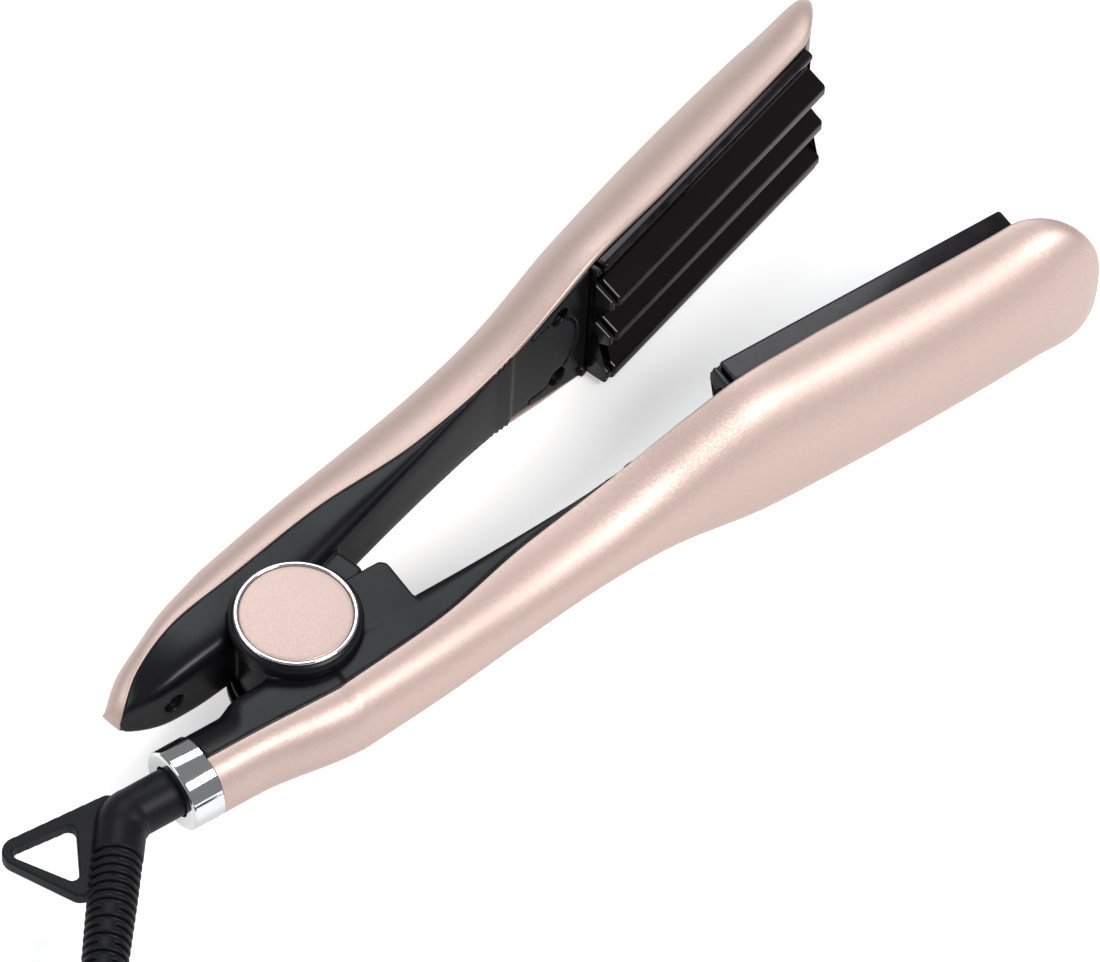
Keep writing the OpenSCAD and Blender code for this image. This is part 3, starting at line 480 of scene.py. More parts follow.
def buildStudio(s):
    floorZ = (midZ - paddleR) * mm - s["floorDrop"]
    half = s["floorSize"]
    mesh = bpy.data.meshes.new("studioFloor")
    mesh.from_pydata([(-half, -half, floorZ), (half, -half, floorZ), (half, half, floorZ), (-half, half, floorZ)],
                     [], [(0, 1, 2, 3)])
    newObject("studioFloor", mesh)
    paper = bpy.data.materials.new("paleFloor")
    add = nodeMaker(emptyTree(paper))
    diffuse = add("BsdfDiffuse", {"Color": s["floorTone"]}).outputs[0]
    glow = add("Emission", {"Color": (1, 1, 1, 1), "Strength": s["floorGlow"]}).outputs[0]
    both = add("AddShader", {0: diffuse, 1: glow}).outputs[0]
    seen = add("LightPath").outputs["Is Camera Ray"]
    add("OutputMaterial", {"Surface": add("MixShader", {"Fac": seen, 1: diffuse, 2: both}).outputs[0]})
    mesh.materials.append(paper)
    scene.world = bpy.data.worlds.new("studioAir")
    tree = emptyTree(scene.world)
    add, calc = nodeMaker(tree), mathMaker(tree)
    path = add("LightPath").outputs
    seen = calc("MAXIMUM", path["Is Camera Ray"], path["Is Transmission Ray"])
    power = calc("MULTIPLY", spread(tree, seen, s["fill"], 1.0, 0, 1),
                 spread(tree, path["Is Glossy Ray"], 1.0, s["reflected"], 0, 1))
    air = add("Background", {"Color": (1, 1, 1, 1), "Strength": power}).outputs[0]
    add("OutputWorld", {"Surface": air})
    scene.view_settings.view_transform = "Standard"


def heading(degrees):
    a = math.radians(degrees)
    return Vector((math.cos(a), math.sin(a), 0))


def softLamp(name, spot, size, power, tone=(1, 1, 1)):
    lamp = bpy.data.lights.new(name, "AREA")
    lamp.shape = "RECTANGLE"
    lamp.size, lamp.size_y = size
    lamp.energy = power
    lamp.color = tone
    thing = bpy.data.objects.new(name, lamp)
    scene.collection.objects.link(thing)
    thing.location = spot
    thing.rotation_euler = (Vector((0.08, 0.02, 0)) - Vector(spot)).to_track_quat("-Z", "Y").to_euler()


# ---- curves along the arms, in mm: u from the pivot to the tip, v from an arm to the closing plane ----

arm = {
    "plateStart": 124.0, "plateLen": 84.0, "tipMargin": 18.0, "tipDrop": 12.4, "handleW": 22.0,
    "paddleDepth": 19.5, "pivotDepth": 10.0, "pivotSeam": 20.9, "paddleSeam": 4.7, "innerGap": 7.0,
    "rimGap": 4.9, "coverWall": 1.3, "frameT": 3.0, "openAngle": 17.7, "tailLen": 43.0, "plateW": 44.4,
    "tipRound": 17.6, "tipNose": 6.6, "tailRound": 26.0, "ferruleFront": -38.6, "cordV": -17.8,
    "barrelR": 10.0, "barrelSeam": 19.8, "barrelU": -28.0,
}
midZ = 16.0
plateStart = arm["plateStart"]
plateEnd = plateStart + arm["plateLen"]
tip = plateEnd + arm["tipMargin"]
handleR = arm["handleW"] / 2
paddleR = arm["plateW"] / 2 + 0.3 + arm["coverWall"]
tailLen = arm["tailLen"]
cordV = arm["cordV"]

seamShare = [(0, 1), (0.25, 0.77), (0.48, 0.373), (0.78, 0.114), (1.2, 0)]
backShare = [(0, 1), (0.2, 0.72), (0.4, 0.33), (0.6, -0.05), (0.8, -0.25), (1, -0.12), (1.29, 0), (1.61, -0.17),
             (1.82, -0.66)]
widthShare = [(0, 0.04), (0.24, 0), (0.4, -0.015), (0.52, 0.01), (0.645, 0.095), (0.766, 0.32), (0.887, 0.665),
              (1.008, 0.97), (1.17, 1), (1.61, 1.01), (1.82, 1.22)]
tailSeam = [(-1, -2.2), (-0.77, 1.1), (-0.4, 2.2), (0, 0)]
tailInner = [(-1, 11.8), (-0.79, 6.8), (-0.58, 4.3), (-0.38, 2.6), (0, 0)]
tailDepth = [(-1, -4.8), (-0.87, -4.4), (-0.6, -4.3), (-0.3, -2.3), (0, 0)]


def along(t, u):
    # smooth curve through a table of (place, value)
    i = 0
    while i <= len(t) - 3 and u >= t[i + 1][0]:
        i += 1

    def rise(k):
        a, b = t[max(0, k - 1)], t[min(len(t) - 1, k + 1)]
        return (b[1] - a[1]) / (b[0] - a[0])
    a, b = t[i], t[i + 1]
    w = b[0] - a[0]
    s = min(max((u - a[0]) / w, 0), 1)
    return ((1 + 2 * s) * (1 - s) ** 2 * a[1] + s * (1 - s) ** 2 * w * rise(i)
            + s * s * (3 - 2 * s) * b[1] + s * s * (s - 1) * w * rise(i + 1))


def ease(t):
    s = min(max(t, 0), 1)
    return s * s * (3 - 2 * s)


def nose(u, a, b, power=2.0):
    return max(0.0002, 1 - max(0, (u - a) / (b - a)) ** power) ** (1 / power)


def rimDrop(u):
    r = arm["tipRound"] + 1.5
    return arm["tipDrop"] * max(0, (u - tip + r) / r) ** 1.56


def seamV(up, u):
    if u >= 0:
        return -(arm["paddleSeam"] + (arm["pivotSeam"] - arm["paddleSeam"]) * along(seamShare, u / plateStart)
                 + rimDrop(u))
    if up:
        return -(arm["pivotSeam"] + along(tailSeam, u / tailLen))
    return -(arm["pivotSeam"] + (arm["barrelSeam"] - arm["pivotSeam"]) * ease(u / arm["barrelU"]))


def backV(u):
    far = arm["paddleSeam"] + arm["paddleDepth"]
    return far + (arm["pivotSeam"] + arm["pivotDepth"] - far) * along(backShare, u / plateStart)


def depthOf(up, u):
    if u >= 0:
        d = backV(u) + seamV(up, u)
    elif up:
        d = arm["pivotDepth"] + along(tailDepth, u / tailLen)
    else:
        d = arm["pivotDepth"] + (arm["barrelR"] - cordV - arm["barrelSeam"] - arm["pivotDepth"]) * ease(
            u / arm["barrelU"])
    return d * nose(u, tip - arm["tipNose"], tip)


def halfW(up, u):
    if u >= 0:
        h = handleR + (paddleR - handleR) * along(widthShare, u / plateStart)
    elif up:
        h = (handleR + 0.5 + 0.9 * u / tailLen) * nose(-u, tailLen - arm["tailRound"], tailLen + 1)
    else:
        h = handleR + (arm["barrelR"] - handleR) * ease(u / arm["barrelU"])
    return h * nose(u, tip - arm["tipRound"], tip, 2.5)


def innerV(up, u):
    if u >= 0:
        return -(arm["innerGap"] + (arm["rimGap"] - arm["innerGap"])
                 * ease((u - plateStart * 0.72) / (plateStart * 0.27)) + rimDrop(u))
    if up:
        return -(arm["innerGap"] + along(tailInner, u / tailLen))
    return -(arm["innerGap"] + (-cordV - arm["barrelR"] - arm["innerGap"]) * ease(u / arm["barrelU"]))


def edgeBevel(u):
    return 0.35 + 0.5 * ease((u - plateStart + 26) / 20)


def tipStations(start, end):
    return [tip - arm["tipRound"] * (1 - math.sin(math.radians(a))) for a in range(start, end, 4)]


def halfRound(power, steps):
    # half of a rounded outline with unit width and depth, as (across, deep)
    out = []
    for i in range(steps + 1):
        a = math.pi * i / steps
        c, s = abs(math.cos(a)), abs(math.sin(a))
        k = (c ** power + s ** power) ** (-1 / power)
        out.append((k * math.cos(a), k * math.sin(a)))
    return out


def placed(up):
    # puts (u, v, z) in mm on an arm at rest, in metres
    turn = math.radians(arm["openAngle"])
    c, s = math.cos(turn), math.sin(turn)
    if up:
        return lambda u, v, z: Vector(((u * c + v * s) * mm, (u * s - v * c) * mm, (z + midZ) * mm))
    return lambda u, v, z: Vector((u * mm, v * mm, (z + midZ) * mm))


# which arm, the word in its nodes' names, and its body
arms = ((False, "lower", "cord_arm"), (True, "upper", "free_arm"))


def stationList(low, high, step=1.6):
    count = max(2, int(round((high - low) / step)))
    return [low + (high - low) * i / count for i in range(count + 1)]


buildStudio(studio)
softLamp("keyLamp", (0.36, -0.86, 1.12), (0.6, 0.45), 13.0)
softLamp("topLamp", (0.40, 0.75, 1.20), (0.7, 0.5), 5.0, (0.93, 0.96, 1.0))
softLamp("sideLamp", (-1.0, 0.5, 1.0), (0.8, 0.5), 5.0, (0.93, 0.95, 1.0))
print("camera, floor and lamps ready")

# ---- cord: straight out of the strain relief, down to the floor, coil out of view, plug ----

cord = {
    "diameter": 6.0, "sides": 18, "reliefBend": 51.0, "reliefLen": 56.0, "elbowU": -61.4,
    "lead": [(-107.5, -75, 14.9), (-114.4, -84.3, 11.9), (-121, -93.9, 7.8), (-126.8, -103.8, 3.6),
             (-131.4, -114.2, -0.3), (-134.9, -124.6, -3.2)],
    "coilStart": (-137.0, -146.0), "coilInR": 24.5, "coilPitch": 6.6, "turnsIn": 3.5, "turnsClimb": 0.5,
    "turnsOut": 3.25, "dip": 1.0, "tie": 0.6, "plugT": 13.8, "plugAngle": 29.0,
}
floorZ = midZ - paddleR
cordZ = floorZ + cord["tie"] + cord["diameter"] / 2
reliefWay = -heading(cord["reliefBend"])
reliefOut = Vector((cord["elbowU"], cordV, midZ)) + cord["reliefLen"] * reliefWay


def coilRoute(c):
    startR = c["coilInR"] + c["turnsIn"] * c["coilPitch"]
    centre = (c["coilStart"][0] + startR, c["coilStart"][1])
    turns = c["turnsIn"] + c["turnsClimb"] + c["turnsOut"]
    perTurn = 24

    def climb(t):
        return min(max((t - c["turnsIn"]) / c["turnsClimb"], 0), 1)
    points = []
    for i in range(int(turns * perTurn) + 1):
        t = i / perTurn
        if t < c["turnsIn"]:
            r = startR - c["coilPitch"] * t
        else:
            r = (c["coilInR"] - c["dip"] * math.sin(math.pi * climb(t))
                 + c["coilPitch"] * max(0, t - c["turnsIn"] - c["turnsClimb"]))
        points.append(Vector((centre[0] - r * math.cos(2 * math.pi * t), centre[1] - r * math.sin(2 * math.pi * t),
                              cordZ + c["coilPitch"] * ease(climb(t)))))
    return points


wound = coilRoute(cord)
d = cord["diameter"]
coilEnd = wound[-1] + Vector((d, 0, 0))
plugDrop = cordZ + cord["coilPitch"] - floorZ - cord["plugT"] / 2
plugNear = coilEnd + Vector((45, 11.3, -plugDrop))
plugAt = plugNear + d * heading(cord["plugAngle"])
route = [reliefOut, reliefOut + d * reliefWay] + [Vector(p) for p in cord["lead"]]
route += [wound[0] + Vector((0, 2 * d, 0)), wound[0] + Vector((0, d, 0))] + wound + [coilEnd]
route += [coilEnd + Vector((x, y, z * plugDrop)) for x, y, z in
          ((d, 0, 0), (16, 0.9, -0.15), (26, 3.2, -0.4), (36, 6.9, -0.75), (45, 11.3, -1))] + [plugAt]


def smoothRoute(points, step):
    # the same route with rounded corners, at an even step
    fine = [points[0].copy()]
    for i in range(len(points) - 1):
        a, b = points[i], points[i + 1]
        span = (b - a).length
        before = points[i - 1] if i else a - (b - a)
        after = points[i + 2] if i + 2 < len(points) else b + (b - a)
        ta = (b - before) * span / ((b - a).length + (a - before).length)
        tb = (after - a) * span / ((after - b).length + (b - a).length)
        count = max(1, int(math.ceil(span / step)))
        for k in range(1, count + 1):
            s = k / count
            fine.append((2 * s ** 3 - 3 * s ** 2 + 1) * a + (s ** 3 - 2 * s ** 2 + s) * ta
                        + (3 * s ** 2 - 2 * s ** 3) * b + (s ** 3 - s ** 2) * tb)
    return fine


def tubeMesh(points, radius, sides):
    rings = []
    way = (points[1] - points[0]).normalized()
    side = way.cross(Vector((0, 0, 1))).normalized()
    for i, p in enumerate(points):
        new = (points[min(i + 1, len(points) - 1)] - points[max(i - 1, 0)]).normalized()
        side = (way.rotation_difference(new) @ side)
        side = (side - new * side.dot(new)).normalized()
        way = new
        other = way.cross(side)
        rings.append([(p + radius * (side * math.cos(2 * math.pi * k / sides)
                                     + other * math.sin(2 * math.pi * k / sides))) * mm for k in range(sides)])
    return loftMesh(rings, 50)


cordLine = smoothRoute(route, 2.2)
cordPiece = newObject("mainsCord", tubeMesh(cordLine, d / 2, cord["sides"]))
cordPiece.data.materials.append(finishes["rubber"])
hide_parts("cord_lead", "cord_coil", "plug_lead")
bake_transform(cordPiece)

# ---- rose covers ----


def coverMesh(up):
    place = placed(up)
    wall = arm["coverWall"]
    low = -tailLen - 0.8 if up else arm["ferruleFront"]
    cavityLow = 5 - tailLen if up else low + 0.6
    cavityHigh = tip - 3
    if up:
        stations = [low, low + 0.15, low + 0.4] + stationList(low + 0.8, cavityLow - 0.01, 0.7)
    else:
        stations = [low, cavityLow - 0.01]
    stations += stationList(cavityLow + 0.01, tip - arm["tipRound"])
    stations += tipStations(5, 86) + [cavityHigh - 0.01, cavityHigh + 0.01, tip - 0.03, tip]
    shape = halfRound(2.1, 44)
    inner = halfRound(2.1, 24)
    rings = []
    for u in sorted(set(stations)):
        h, deep, s = halfW(up, u), depthOf(up, u), seamV(up, u)
        b = min(edgeBevel(u), 0.3 * h, 0.3 * deep)
        hollow = cavityLow < u < cavityHigh
        hi = max(h - wall, 0.5 * h)
        di = max(deep - wall, 0) if hollow else 0
        ring = [(s - b + b * math.cos(a), h - b + b * math.sin(a)) for a in (0, 0.4, 0.8, 1.2)]
        ring += [(s - b - (deep - b) * y, h * x) for x, y in shape]
        ring += [(s - b + b * math.cos(a), -h + b - b * math.sin(a)) for a in (1.2, 0.8, 0.4, 0)]
        ring += [(s - di * y, -hi * x) for x, y in inner]
        rings.append([place(u, v, z) for v, z in ring])
    return loftMesh(rings, 40)


for up, word, body in arms:
    finished(word + "CoverShell", coverMesh(up), body, "rose", word + "_cover")
print("covers ready")

# ---- black housings and frames ----

joints = {"capR": 16.4, "knuckleR": 14.0, "knuckleW": 14.8, "washerT": 0.8, "blockEnd": 28.5, "blockTop": 4.4,
          "humpEnd": 25.0, "humpTop": 1.6, "room": 0.6, "tongueR": 12.8, "jointGap": 0.15, "screwZ": 12.4,
          "tailScrewU": -30.0, "recessR": 2.7, "recessDepth": 3.6, "bossR": 3.8, "voxel": 0.42}
tongueU = plateStart - 19.5
jointU = plateStart - 23.5
screwU = plateStart - 13.2
lugR = joints["capR"] - 0.9
lugIn = joints["knuckleW"] / 2 + joints["washerT"] + 0.05
flangeV = -arm["paddleSeam"] - 0.9
plateBack = arm["paddleSeam"] + 3.5
coreW = arm["plateW"] - 4.8
holderGap = 2.6


def housingLoft(up):
    place = placed(up)
    low = -tailLen - 0.8 if up else arm["ferruleFront"]
    rings = []
    for u in stationList(low, jointU - 7, 1.2):
        h, s = halfW(up, u), seamV(up, u)
        deep = max(innerV(up, u) - s, 0.3)
        power = 6 if up or u > arm["barrelU"] + 6 else 2.1 + 3.9 * ease((u - arm["barrelU"]) / 6)
        lip = min(0.25, h / 3)
        ring = [(s - 0.02, h - lip)] + [(s + lip + (deep - lip) * y, h * x) for x, y in halfRound(power, 60)]
        ring += [(s - 0.02, lip - h)]
        rings.append([place(u, v, z) for v, z in ring])
    return loftMesh(rings)


def slabLoft(up, low, high):
    place = placed(up)
    stations = stationList(low, min(high, tip - arm["tipRound"]), 1.5)
    if high > tip - arm["tipRound"]:
        stations += tipStations(4, 60)
    rings = []
    for u in [x for x in stations if x <= high]:
        h, v = halfW(up, u) - arm["coverWall"] - 0.1, innerV(up, u)
        taper = 0.9 + 1.5 * ease((u - plateEnd + 16) / 24)
        ring = [(v - arm["frameT"], taper - h), (v - 0.4, -h), (v, 0.4 - h), (v, h - 0.4), (v - 0.4, h),
                (v - arm["frameT"], h - taper)]
        rings.append([place(u, a, z) for a, z in ring])
    return loftMesh(rings)


def throughMesh(up, outline, low, high):
    # outline in (u, z), carried from one v to another
    place = placed(up)
    return prismMesh(outline, low, high, lambda a, b, h: place(a, h, b))


def sidePlate(up, outline, low, high):
    # outline in (u, v), carried across the arm
    return prismMesh(outline, low, high, placed(up))


def postMesh(up, u, z, low, high, r):
    return throughMesh(up, disc(u, z, r, 40), low, high)


def screwPosts(up, low, high, r):
    return [postMesh(up, screwU, z, low, high, r) for z in (-joints["screwZ"], joints["screwZ"])]


def tongueMesh(up, grow):
    reach = math.degrees(math.acos((jointU - tongueU) / joints["tongueR"]))
    circle = arc(tongueU, 0, joints["tongueR"] + grow, -reach, reach, 60)
    outline = [(-100, -40), (jointU + grow, -40)] + circle + [(jointU + grow, 40), (-100, 40)]
    return throughMesh(up, outline, -40, 20)


def boxMesh(up, low, high):
    outline = [(low[0], low[2]), (high[0], low[2]), (high[0], high[2]), (low[0], high[2])]
    return throughMesh(up, outline, low[1], high[1])


def roundPlate(up, r, low, high):
    return sidePlate(up, disc(0, 0, r, 96), low, high)


def housingMesh(up):
    handle = housingLoft(up)
    tongue = cut(slabLoft(up, jointU - 17, jointU + 21), [tongueMesh(up, 0)], "INTERSECT")
    tongue = cut(tongue, screwPosts(up, -30, 0, joints["recessR"]))
    if up:
        cutters = [roundPlate(up, lugR + joints["room"], s * 7.9, s * 20) for s in (-1, 1)]
        recess = innerV(True, joints["tailScrewU"]) - joints["recessDepth"]
        cutters.append(postMesh(up, joints["tailScrewU"], 0, recess, 5, joints["recessR"]))
        long, top, half = joints["humpEnd"], joints["humpTop"], joints["knuckleW"] / 2
        hump = [(0, -14), (long, -14)] + arc(long - 2, top - 2, 2, 0, 90, 8) + arc(2, top - 2, 2, 90, 180, 8)
        parts = [cut(handle, cutters), tongue, roundPlate(up, joints["knuckleR"], -half, half),
                 sidePlate(up, hump, -half, half)]
    else:
        long, top = joints["blockEnd"], joints["blockTop"]
        block = [(2, -16.4), (long, -16.4)]
        block += arc(long - 2.5, top - 2.5, 2.5, 0, 90, 10) + arc(4, top - 2.5, 2.5, 90, 180, 10)
        parts = [cut(handle, [roundPlate(up, joints["knuckleR"] + joints["room"], -lugIn, lugIn)]), tongue]
        for s in (-1, 1):
            parts.append(roundPlate(up, lugR, s * lugIn, s * handleR))
            parts.append(sidePlate(up, block, s * lugIn, s * handleR))
        parts.append(boxMesh(up, (14, -12, 0.5 - handleR), (long - 0.6, -7.2, handleR - 0.5)))
    return fused(parts, joints["voxel"], 0.5, 4)


def frameMesh(up):
    side = -1 if up else 1
    seat = arm["plateW"] / 2 + 0.3
    core = coreW / 2 + 0.3
    recess = innerV(up, screwU) - joints["recessDepth"]
    cutters = [tongueMesh(up, joints["jointGap"]),
               boxMesh(up, (plateStart - holderGap, flangeV - 0.2, -seat), (plateEnd + 0.3, 5, seat)),
               boxMesh(up, (plateStart - holderGap, -20, -core), (plateEnd + 0.3, 5, core))]
    slab = cut(slabLoft(up, jointU - 17, tip - 3.2), cutters + screwPosts(up, recess, 5, joints["recessR"]))
    tab = postMesh(up, plateStart - 4, side * (paddleR - 4.6), -arm["rimGap"] - 1.5, -arm["rimGap"] + 1, 1.5)
    return fused([slab, tab] + screwPosts(up, recess - 3, recess, joints["bossR"]), 0.36, 0.5, 3)


for up, word, body in arms:
    mesh = housingMesh(up)
    markEdges(mesh)
    finished(word + "HousingShell", mesh, body, "black_shell", word + "_housing")
    mesh = frameMesh(up)
    markEdges(mesh)
    finished(word + "FrameRing", mesh, body, "black_shell", word + "_frame", "frame")
    print("housing and frame ready:", word)

# ---- wave plates and the scalloped walls behind them ----

wave = {"pitch": 14.5, "depth": 5.8, "flat": 3.0, "slope": 1.8, "closedGap": 1.0, "cornerR": 0.9, "holderT": 1.8}
crestV = (wave["depth"] - wave["closedGap"]) / 2
flank = wave["depth"] / wave["slope"]
shoulderV = crestV - wave["depth"] * 0.767


def plateTop():
    # ridges centred at -5/4, -1/4 and 3/4 of the pitch, then a low shoulder
    p, f = wave["pitch"], wave["flat"] / 2
    valley = crestV - wave["depth"]
    half = arm["plateW"] / 2
    top = [(-half, crestV - 0.85), (2.3 - half, crestV - 0.75), (3.2 - half, crestV)]
    for k in (-1.25, -0.25, 0.75):
        for off, v in ((-f - flank, valley), (-f, crestV), (f, crestV), (f + flank, valley)):
            if k * p + off > 3.3 - half:
                top.append((k * p + off, v))
    last = 0.75 * p + f + flank
    return top + [(last + 2.3, valley), (half - 2, shoulderV), (half - 0.5, shoulderV), (half, shoulderV - 1.2)]


def roundedOutline(p, r, steps):
    out = []
    n = len(p)
    for i in range(n):
        c = Vector(p[i])
        a, b = Vector(p[i - 1]) - c, Vector(p[(i + 1) % n]) - c
        ua, ub = a.normalized(), b.normalized()
        half = math.acos(min(max(ua.dot(ub), -1), 1)) / 2
        if half > math.radians(88):
            out.append(tuple(c))
            continue
        t = min(r / math.tan(half), 0.45 * a.length, 0.45 * b.length)
        rr = t * math.tan(half)
        o = c + (ua + ub).normalized() * rr / math.sin(half)
        e, g = c + ua * t - o, c + ub * t - o
        for k in range(steps + 1):
            w = e * (1 - k / steps) + g * k / steps
            out.append(tuple(o + w * rr / w.length))
    return out


def ridgeBar(up, low, high, outline, r):
    # outline of (across, v) carried along the plate, with both ends rounded
    place = placed(up)
    flip = 1 if up else -1
    ends = [(r - a, r - b) for a, b in arc(0, 0, r, 0, 90, 6)]
    steps = [(low + a, b) for a, b in ends] + [(high - a, b) for a, b in reversed(ends)]
    rings = []
    for u, drop in steps:
        ring = []
        for z, v in outline:
            inset = math.copysign(min(drop, max(0, abs(z) - coreW / 2)), z)
            ring.append(place(u, v - drop if v > flangeV + 1 else v, flip * (z - inset)))
        rings.append(ring)
    return loftMesh(rings, 30)


def plateMesh(up):
    half, core = arm["plateW"] / 2, coreW / 2
    outline = [(-core, -plateBack), (-core, flangeV), (-half, flangeV)] + plateTop()
    outline += [(half, flangeV), (core, flangeV), (core, -plateBack)]
    r = wave["cornerR"]
    return ridgeBar(up, plateStart, plateEnd, roundedOutline(outline, r, 7), r)


def holderMesh(up):
    w, lipW = coreW / 2 - 0.3, arm["plateW"] / 2 - 0.5
    back = -plateBack - wave["holderT"]
    lip = [(z, v - 0.5) for z, v in plateTop() if abs(z) < lipW - 0.3]
    outline = [(-w, back), (-w, flangeV), (-lipW, flangeV), (-lipW, lip[0][1])] + lip
    outline += [(lipW, lip[-1][1] - 0.4), (lipW, flangeV), (w, flangeV), (w, back)]
    outline = roundedOutline(outline, 0.6, 5)
    wall = ridgeBar(up, plateStart - holderGap + 0.3, plateStart - 0.7, outline, 0.6)
    tray = boxMesh(up, (plateStart - 1.5, back, -w), (plateEnd - 0.3, -plateBack, w))
    return joined([wall, tray])


for up, word, body in arms:
    mesh = plateMesh(up)
    markEdges(mesh, 0.7)
    finished(word + "WavePlate", mesh, body, "plate_coat", word + "_plate")
    mesh = creased(holderMesh(up))
    markEdges(mesh, 0.7)
    finished(word + "ScallopWall", mesh, body, "holder", word + "_plate_holder")
print("wave plates ready")

# ---- screws, set by geometry nodes on the arms' screw places ----

screw = {"Head Radius": 2.3, "Head Height": 1.5, "Shank Radius": 1.2, "Shank Length": 7.5, "Slot Length": 2.6,
         "Slot Width": 0.6, "Slot Depth": 0.7}


def shapeTree(name, inputs):
    # inputs by kind of socket; gives the tree, its two node makers, its maths and its inputs
    tree = bpy.data.node_groups.new(name, "GeometryNodeTree")
    for kind, labels in inputs.items():
        for label in labels:
            tree.interface.new_socket(label, in_out="INPUT", socket_type="NodeSocket" + kind)
    tree.interface.new_socket("Geometry", in_out="OUTPUT", socket_type="NodeSocketGeometry")
    given = tree.nodes.new("NodeGroupInput").outputs
    return tree, nodeMaker(tree, "GeometryNode"), nodeMaker(tree), mathMaker(tree), given


def endTree(tree, geometry, finish):
    shape = nodeMaker(tree, "GeometryNode")
    plain = shape("RealizeInstances", {"Geometry": geometry}).outputs[0]
    done = shape("SetMaterial", {"Geometry": plain, "Material": finish}).outputs[0]
    feed(tree.nodes.new("NodeGroupOutput"), {"Geometry": done})
    return tree


def merged(tree, pieces):
    both = tree.nodes.new("GeometryNodeJoinGeometry")
    for piece in pieces:
        feed(both, {0: piece})
    return both.outputs[0]


def screwTree():
    # a tapered head with a cross recess and its shank, on every point of the mesh
    tree, shape, add, calc, given = shapeTree("crossScrews", {
        "Geometry": ["Geometry"], "Float": screw, "Vector": ["Turn"], "Material": ["Finish"]})

    def move(geometry, z):
        where = add("CombineXYZ", {"Z": z}).outputs[0]
        return shape("Transform", {"Geometry": geometry, "Translation": where}).outputs[0]
    top = calc("MULTIPLY", given["Head Radius"], 0.86)
    head = shape("MeshCone", {"Vertices": 48, "Side Segments": 1, "Radius Bottom": given["Head Radius"],
                              "Radius Top": top, "Depth": given["Head Height"]}).outputs["Mesh"]
    hollow = shape("MeshBoolean", {"Mesh 1": head}, operation="DIFFERENCE")
    deep = calc("MULTIPLY", given["Slot Depth"], 2.0)
    for x, y in (("Slot Length", "Slot Width"), ("Slot Width", "Slot Length")):
        size = add("CombineXYZ", {"X": given[x], "Y": given[y], "Z": deep}).outputs[0]
        slot = shape("MeshCube", {"Size": size}).outputs[0]
        feed(hollow, {"Mesh 2": move(slot, given["Head Height"])})
    shank = shape("MeshCylinder", {"Vertices": 24, "Radius": given["Shank Radius"],
                                   "Depth": given["Shank Length"]}).outputs["Mesh"]
    shank = move(shank, calc("MULTIPLY", given["Shank Length"], -0.5))
    spots = shape("InstanceOnPoints", {"Points": given["Geometry"], "Rotation": given["Turn"],
                                       "Instance": merged(tree, [shank, hollow.outputs[0]])})
    return endTree(tree, spots.outputs[0], given["Finish"])


def addNodesTo(thing, tree, values):
    mod = thing.modifiers.new("nodes", "NODES")
    mod.node_group = tree
    ids = {s.name: s.identifier for s in tree.interface.items_tree if s.in_out == "INPUT"}
    for label, value in values.items():
        mod[ids[label]] = value


def screwMesh(up, tree):
    place = placed(up)
    spots = [(screwU, -joints["screwZ"]), (screwU, joints["screwZ"])]
    if up:
        spots.append((joints["tailScrewU"], 0))
    mesh = bpy.data.meshes.new("screwSpots")
    mesh.from_pydata([place(u, innerV(up, u) - joints["recessDepth"], z) for u, z in spots], [], [])
    way = place(0, 1, 0) - place(0, 0, 0)
    values = {label: size * mm for label, size in screw.items()}
    values.update({"Turn": tuple(way.to_track_quat("Z", "Y").to_euler()), "Finish": finishes["steel"]})
    return baked(mesh, lambda thing: addNodesTo(thing, tree, values))


screwNodes = screwTree()
for up, word, body in arms:
    finished(word + "CrossScrews", creased(screwMesh(up, screwNodes)), body, "steel", word + "_screws")
print("screws ready")

# ---- pivot: caps, chrome rings and rose buttons on both sides ----

pivot = {"ringR": 15.0, "buttonR": 13.8, "pinR": 2.5, "capRound": 2.2, "dome": 0.35}


def fromAxis(side):
    return lambda x, y, h: Vector((x * mm, y * mm, (midZ + side * h) * mm))


def capProfile():
    top, foot, pin, ring = midZ - 0.6, handleR + 0.5, pivot["pinR"] + 2.4, pivot["ringR"]
    r, q = joints["capR"], pivot["capRound"]
    outline = [(pin, handleR + 0.01), (lugR - 0.4, handleR + 0.01), (lugR - 0.4, foot), (r - 0.25, foot),
               (r, foot + 0.25)] + arc(r - q, top - q, q, 0, 80, 10)
    return outline + [(r - q, top), (ring + 0.15, top), (ring + 0.05, top - 0.1), (ring + 0.05, top - 1), (0, top - 1),
                      (0, handleR + 1.8), (pin, handleR + 1.8), (pin, handleR + 0.01)]


def ringProfile():
    low, high, q = midZ - 1.6, midZ - 0.1, 0.35
    a, b = pivot["buttonR"] + 0.15, pivot["ringR"]
    return ([(a, low), (b, low), (b, high - q)] + arc(b - q, high - q, q, 20, 80, 3)
            + arc(a + q, high - q, q, 100, 160, 3) + [(a, high - q), (a, low)])


def buttonProfile():
    r, dome, q = pivot["buttonR"], pivot["dome"], 0.4
    high = midZ - dome
    outline = [(0, midZ - 1.6), (r, midZ - 1.6), (r, high - q)] + arc(r - q, high - q, q, 15, 75, 4)
    return outline + [(r * s, high + dome * (1 - s * s)) for s in (0.965, 0.9, 0.8, 0.65, 0.5, 0.35, 0.2, 0.1, 0)]


for side, word in ((1, "upper"), (-1, "lower")):
    for name, profile, slot, node in (("CapShell", capProfile(), "black_shell", "_pivot_cap"),
                                      ("PivotRing", ringProfile(), "chrome", "_chrome_ring"),
                                      ("PivotDisc", buttonProfile(), "rose", "_pivot_button")):
        finished(word + name, latheMesh(profile, fromAxis(side)), "cord_arm", slot, word + node)
print("pivot ready")

# ---- chrome ferrule and strain relief ----

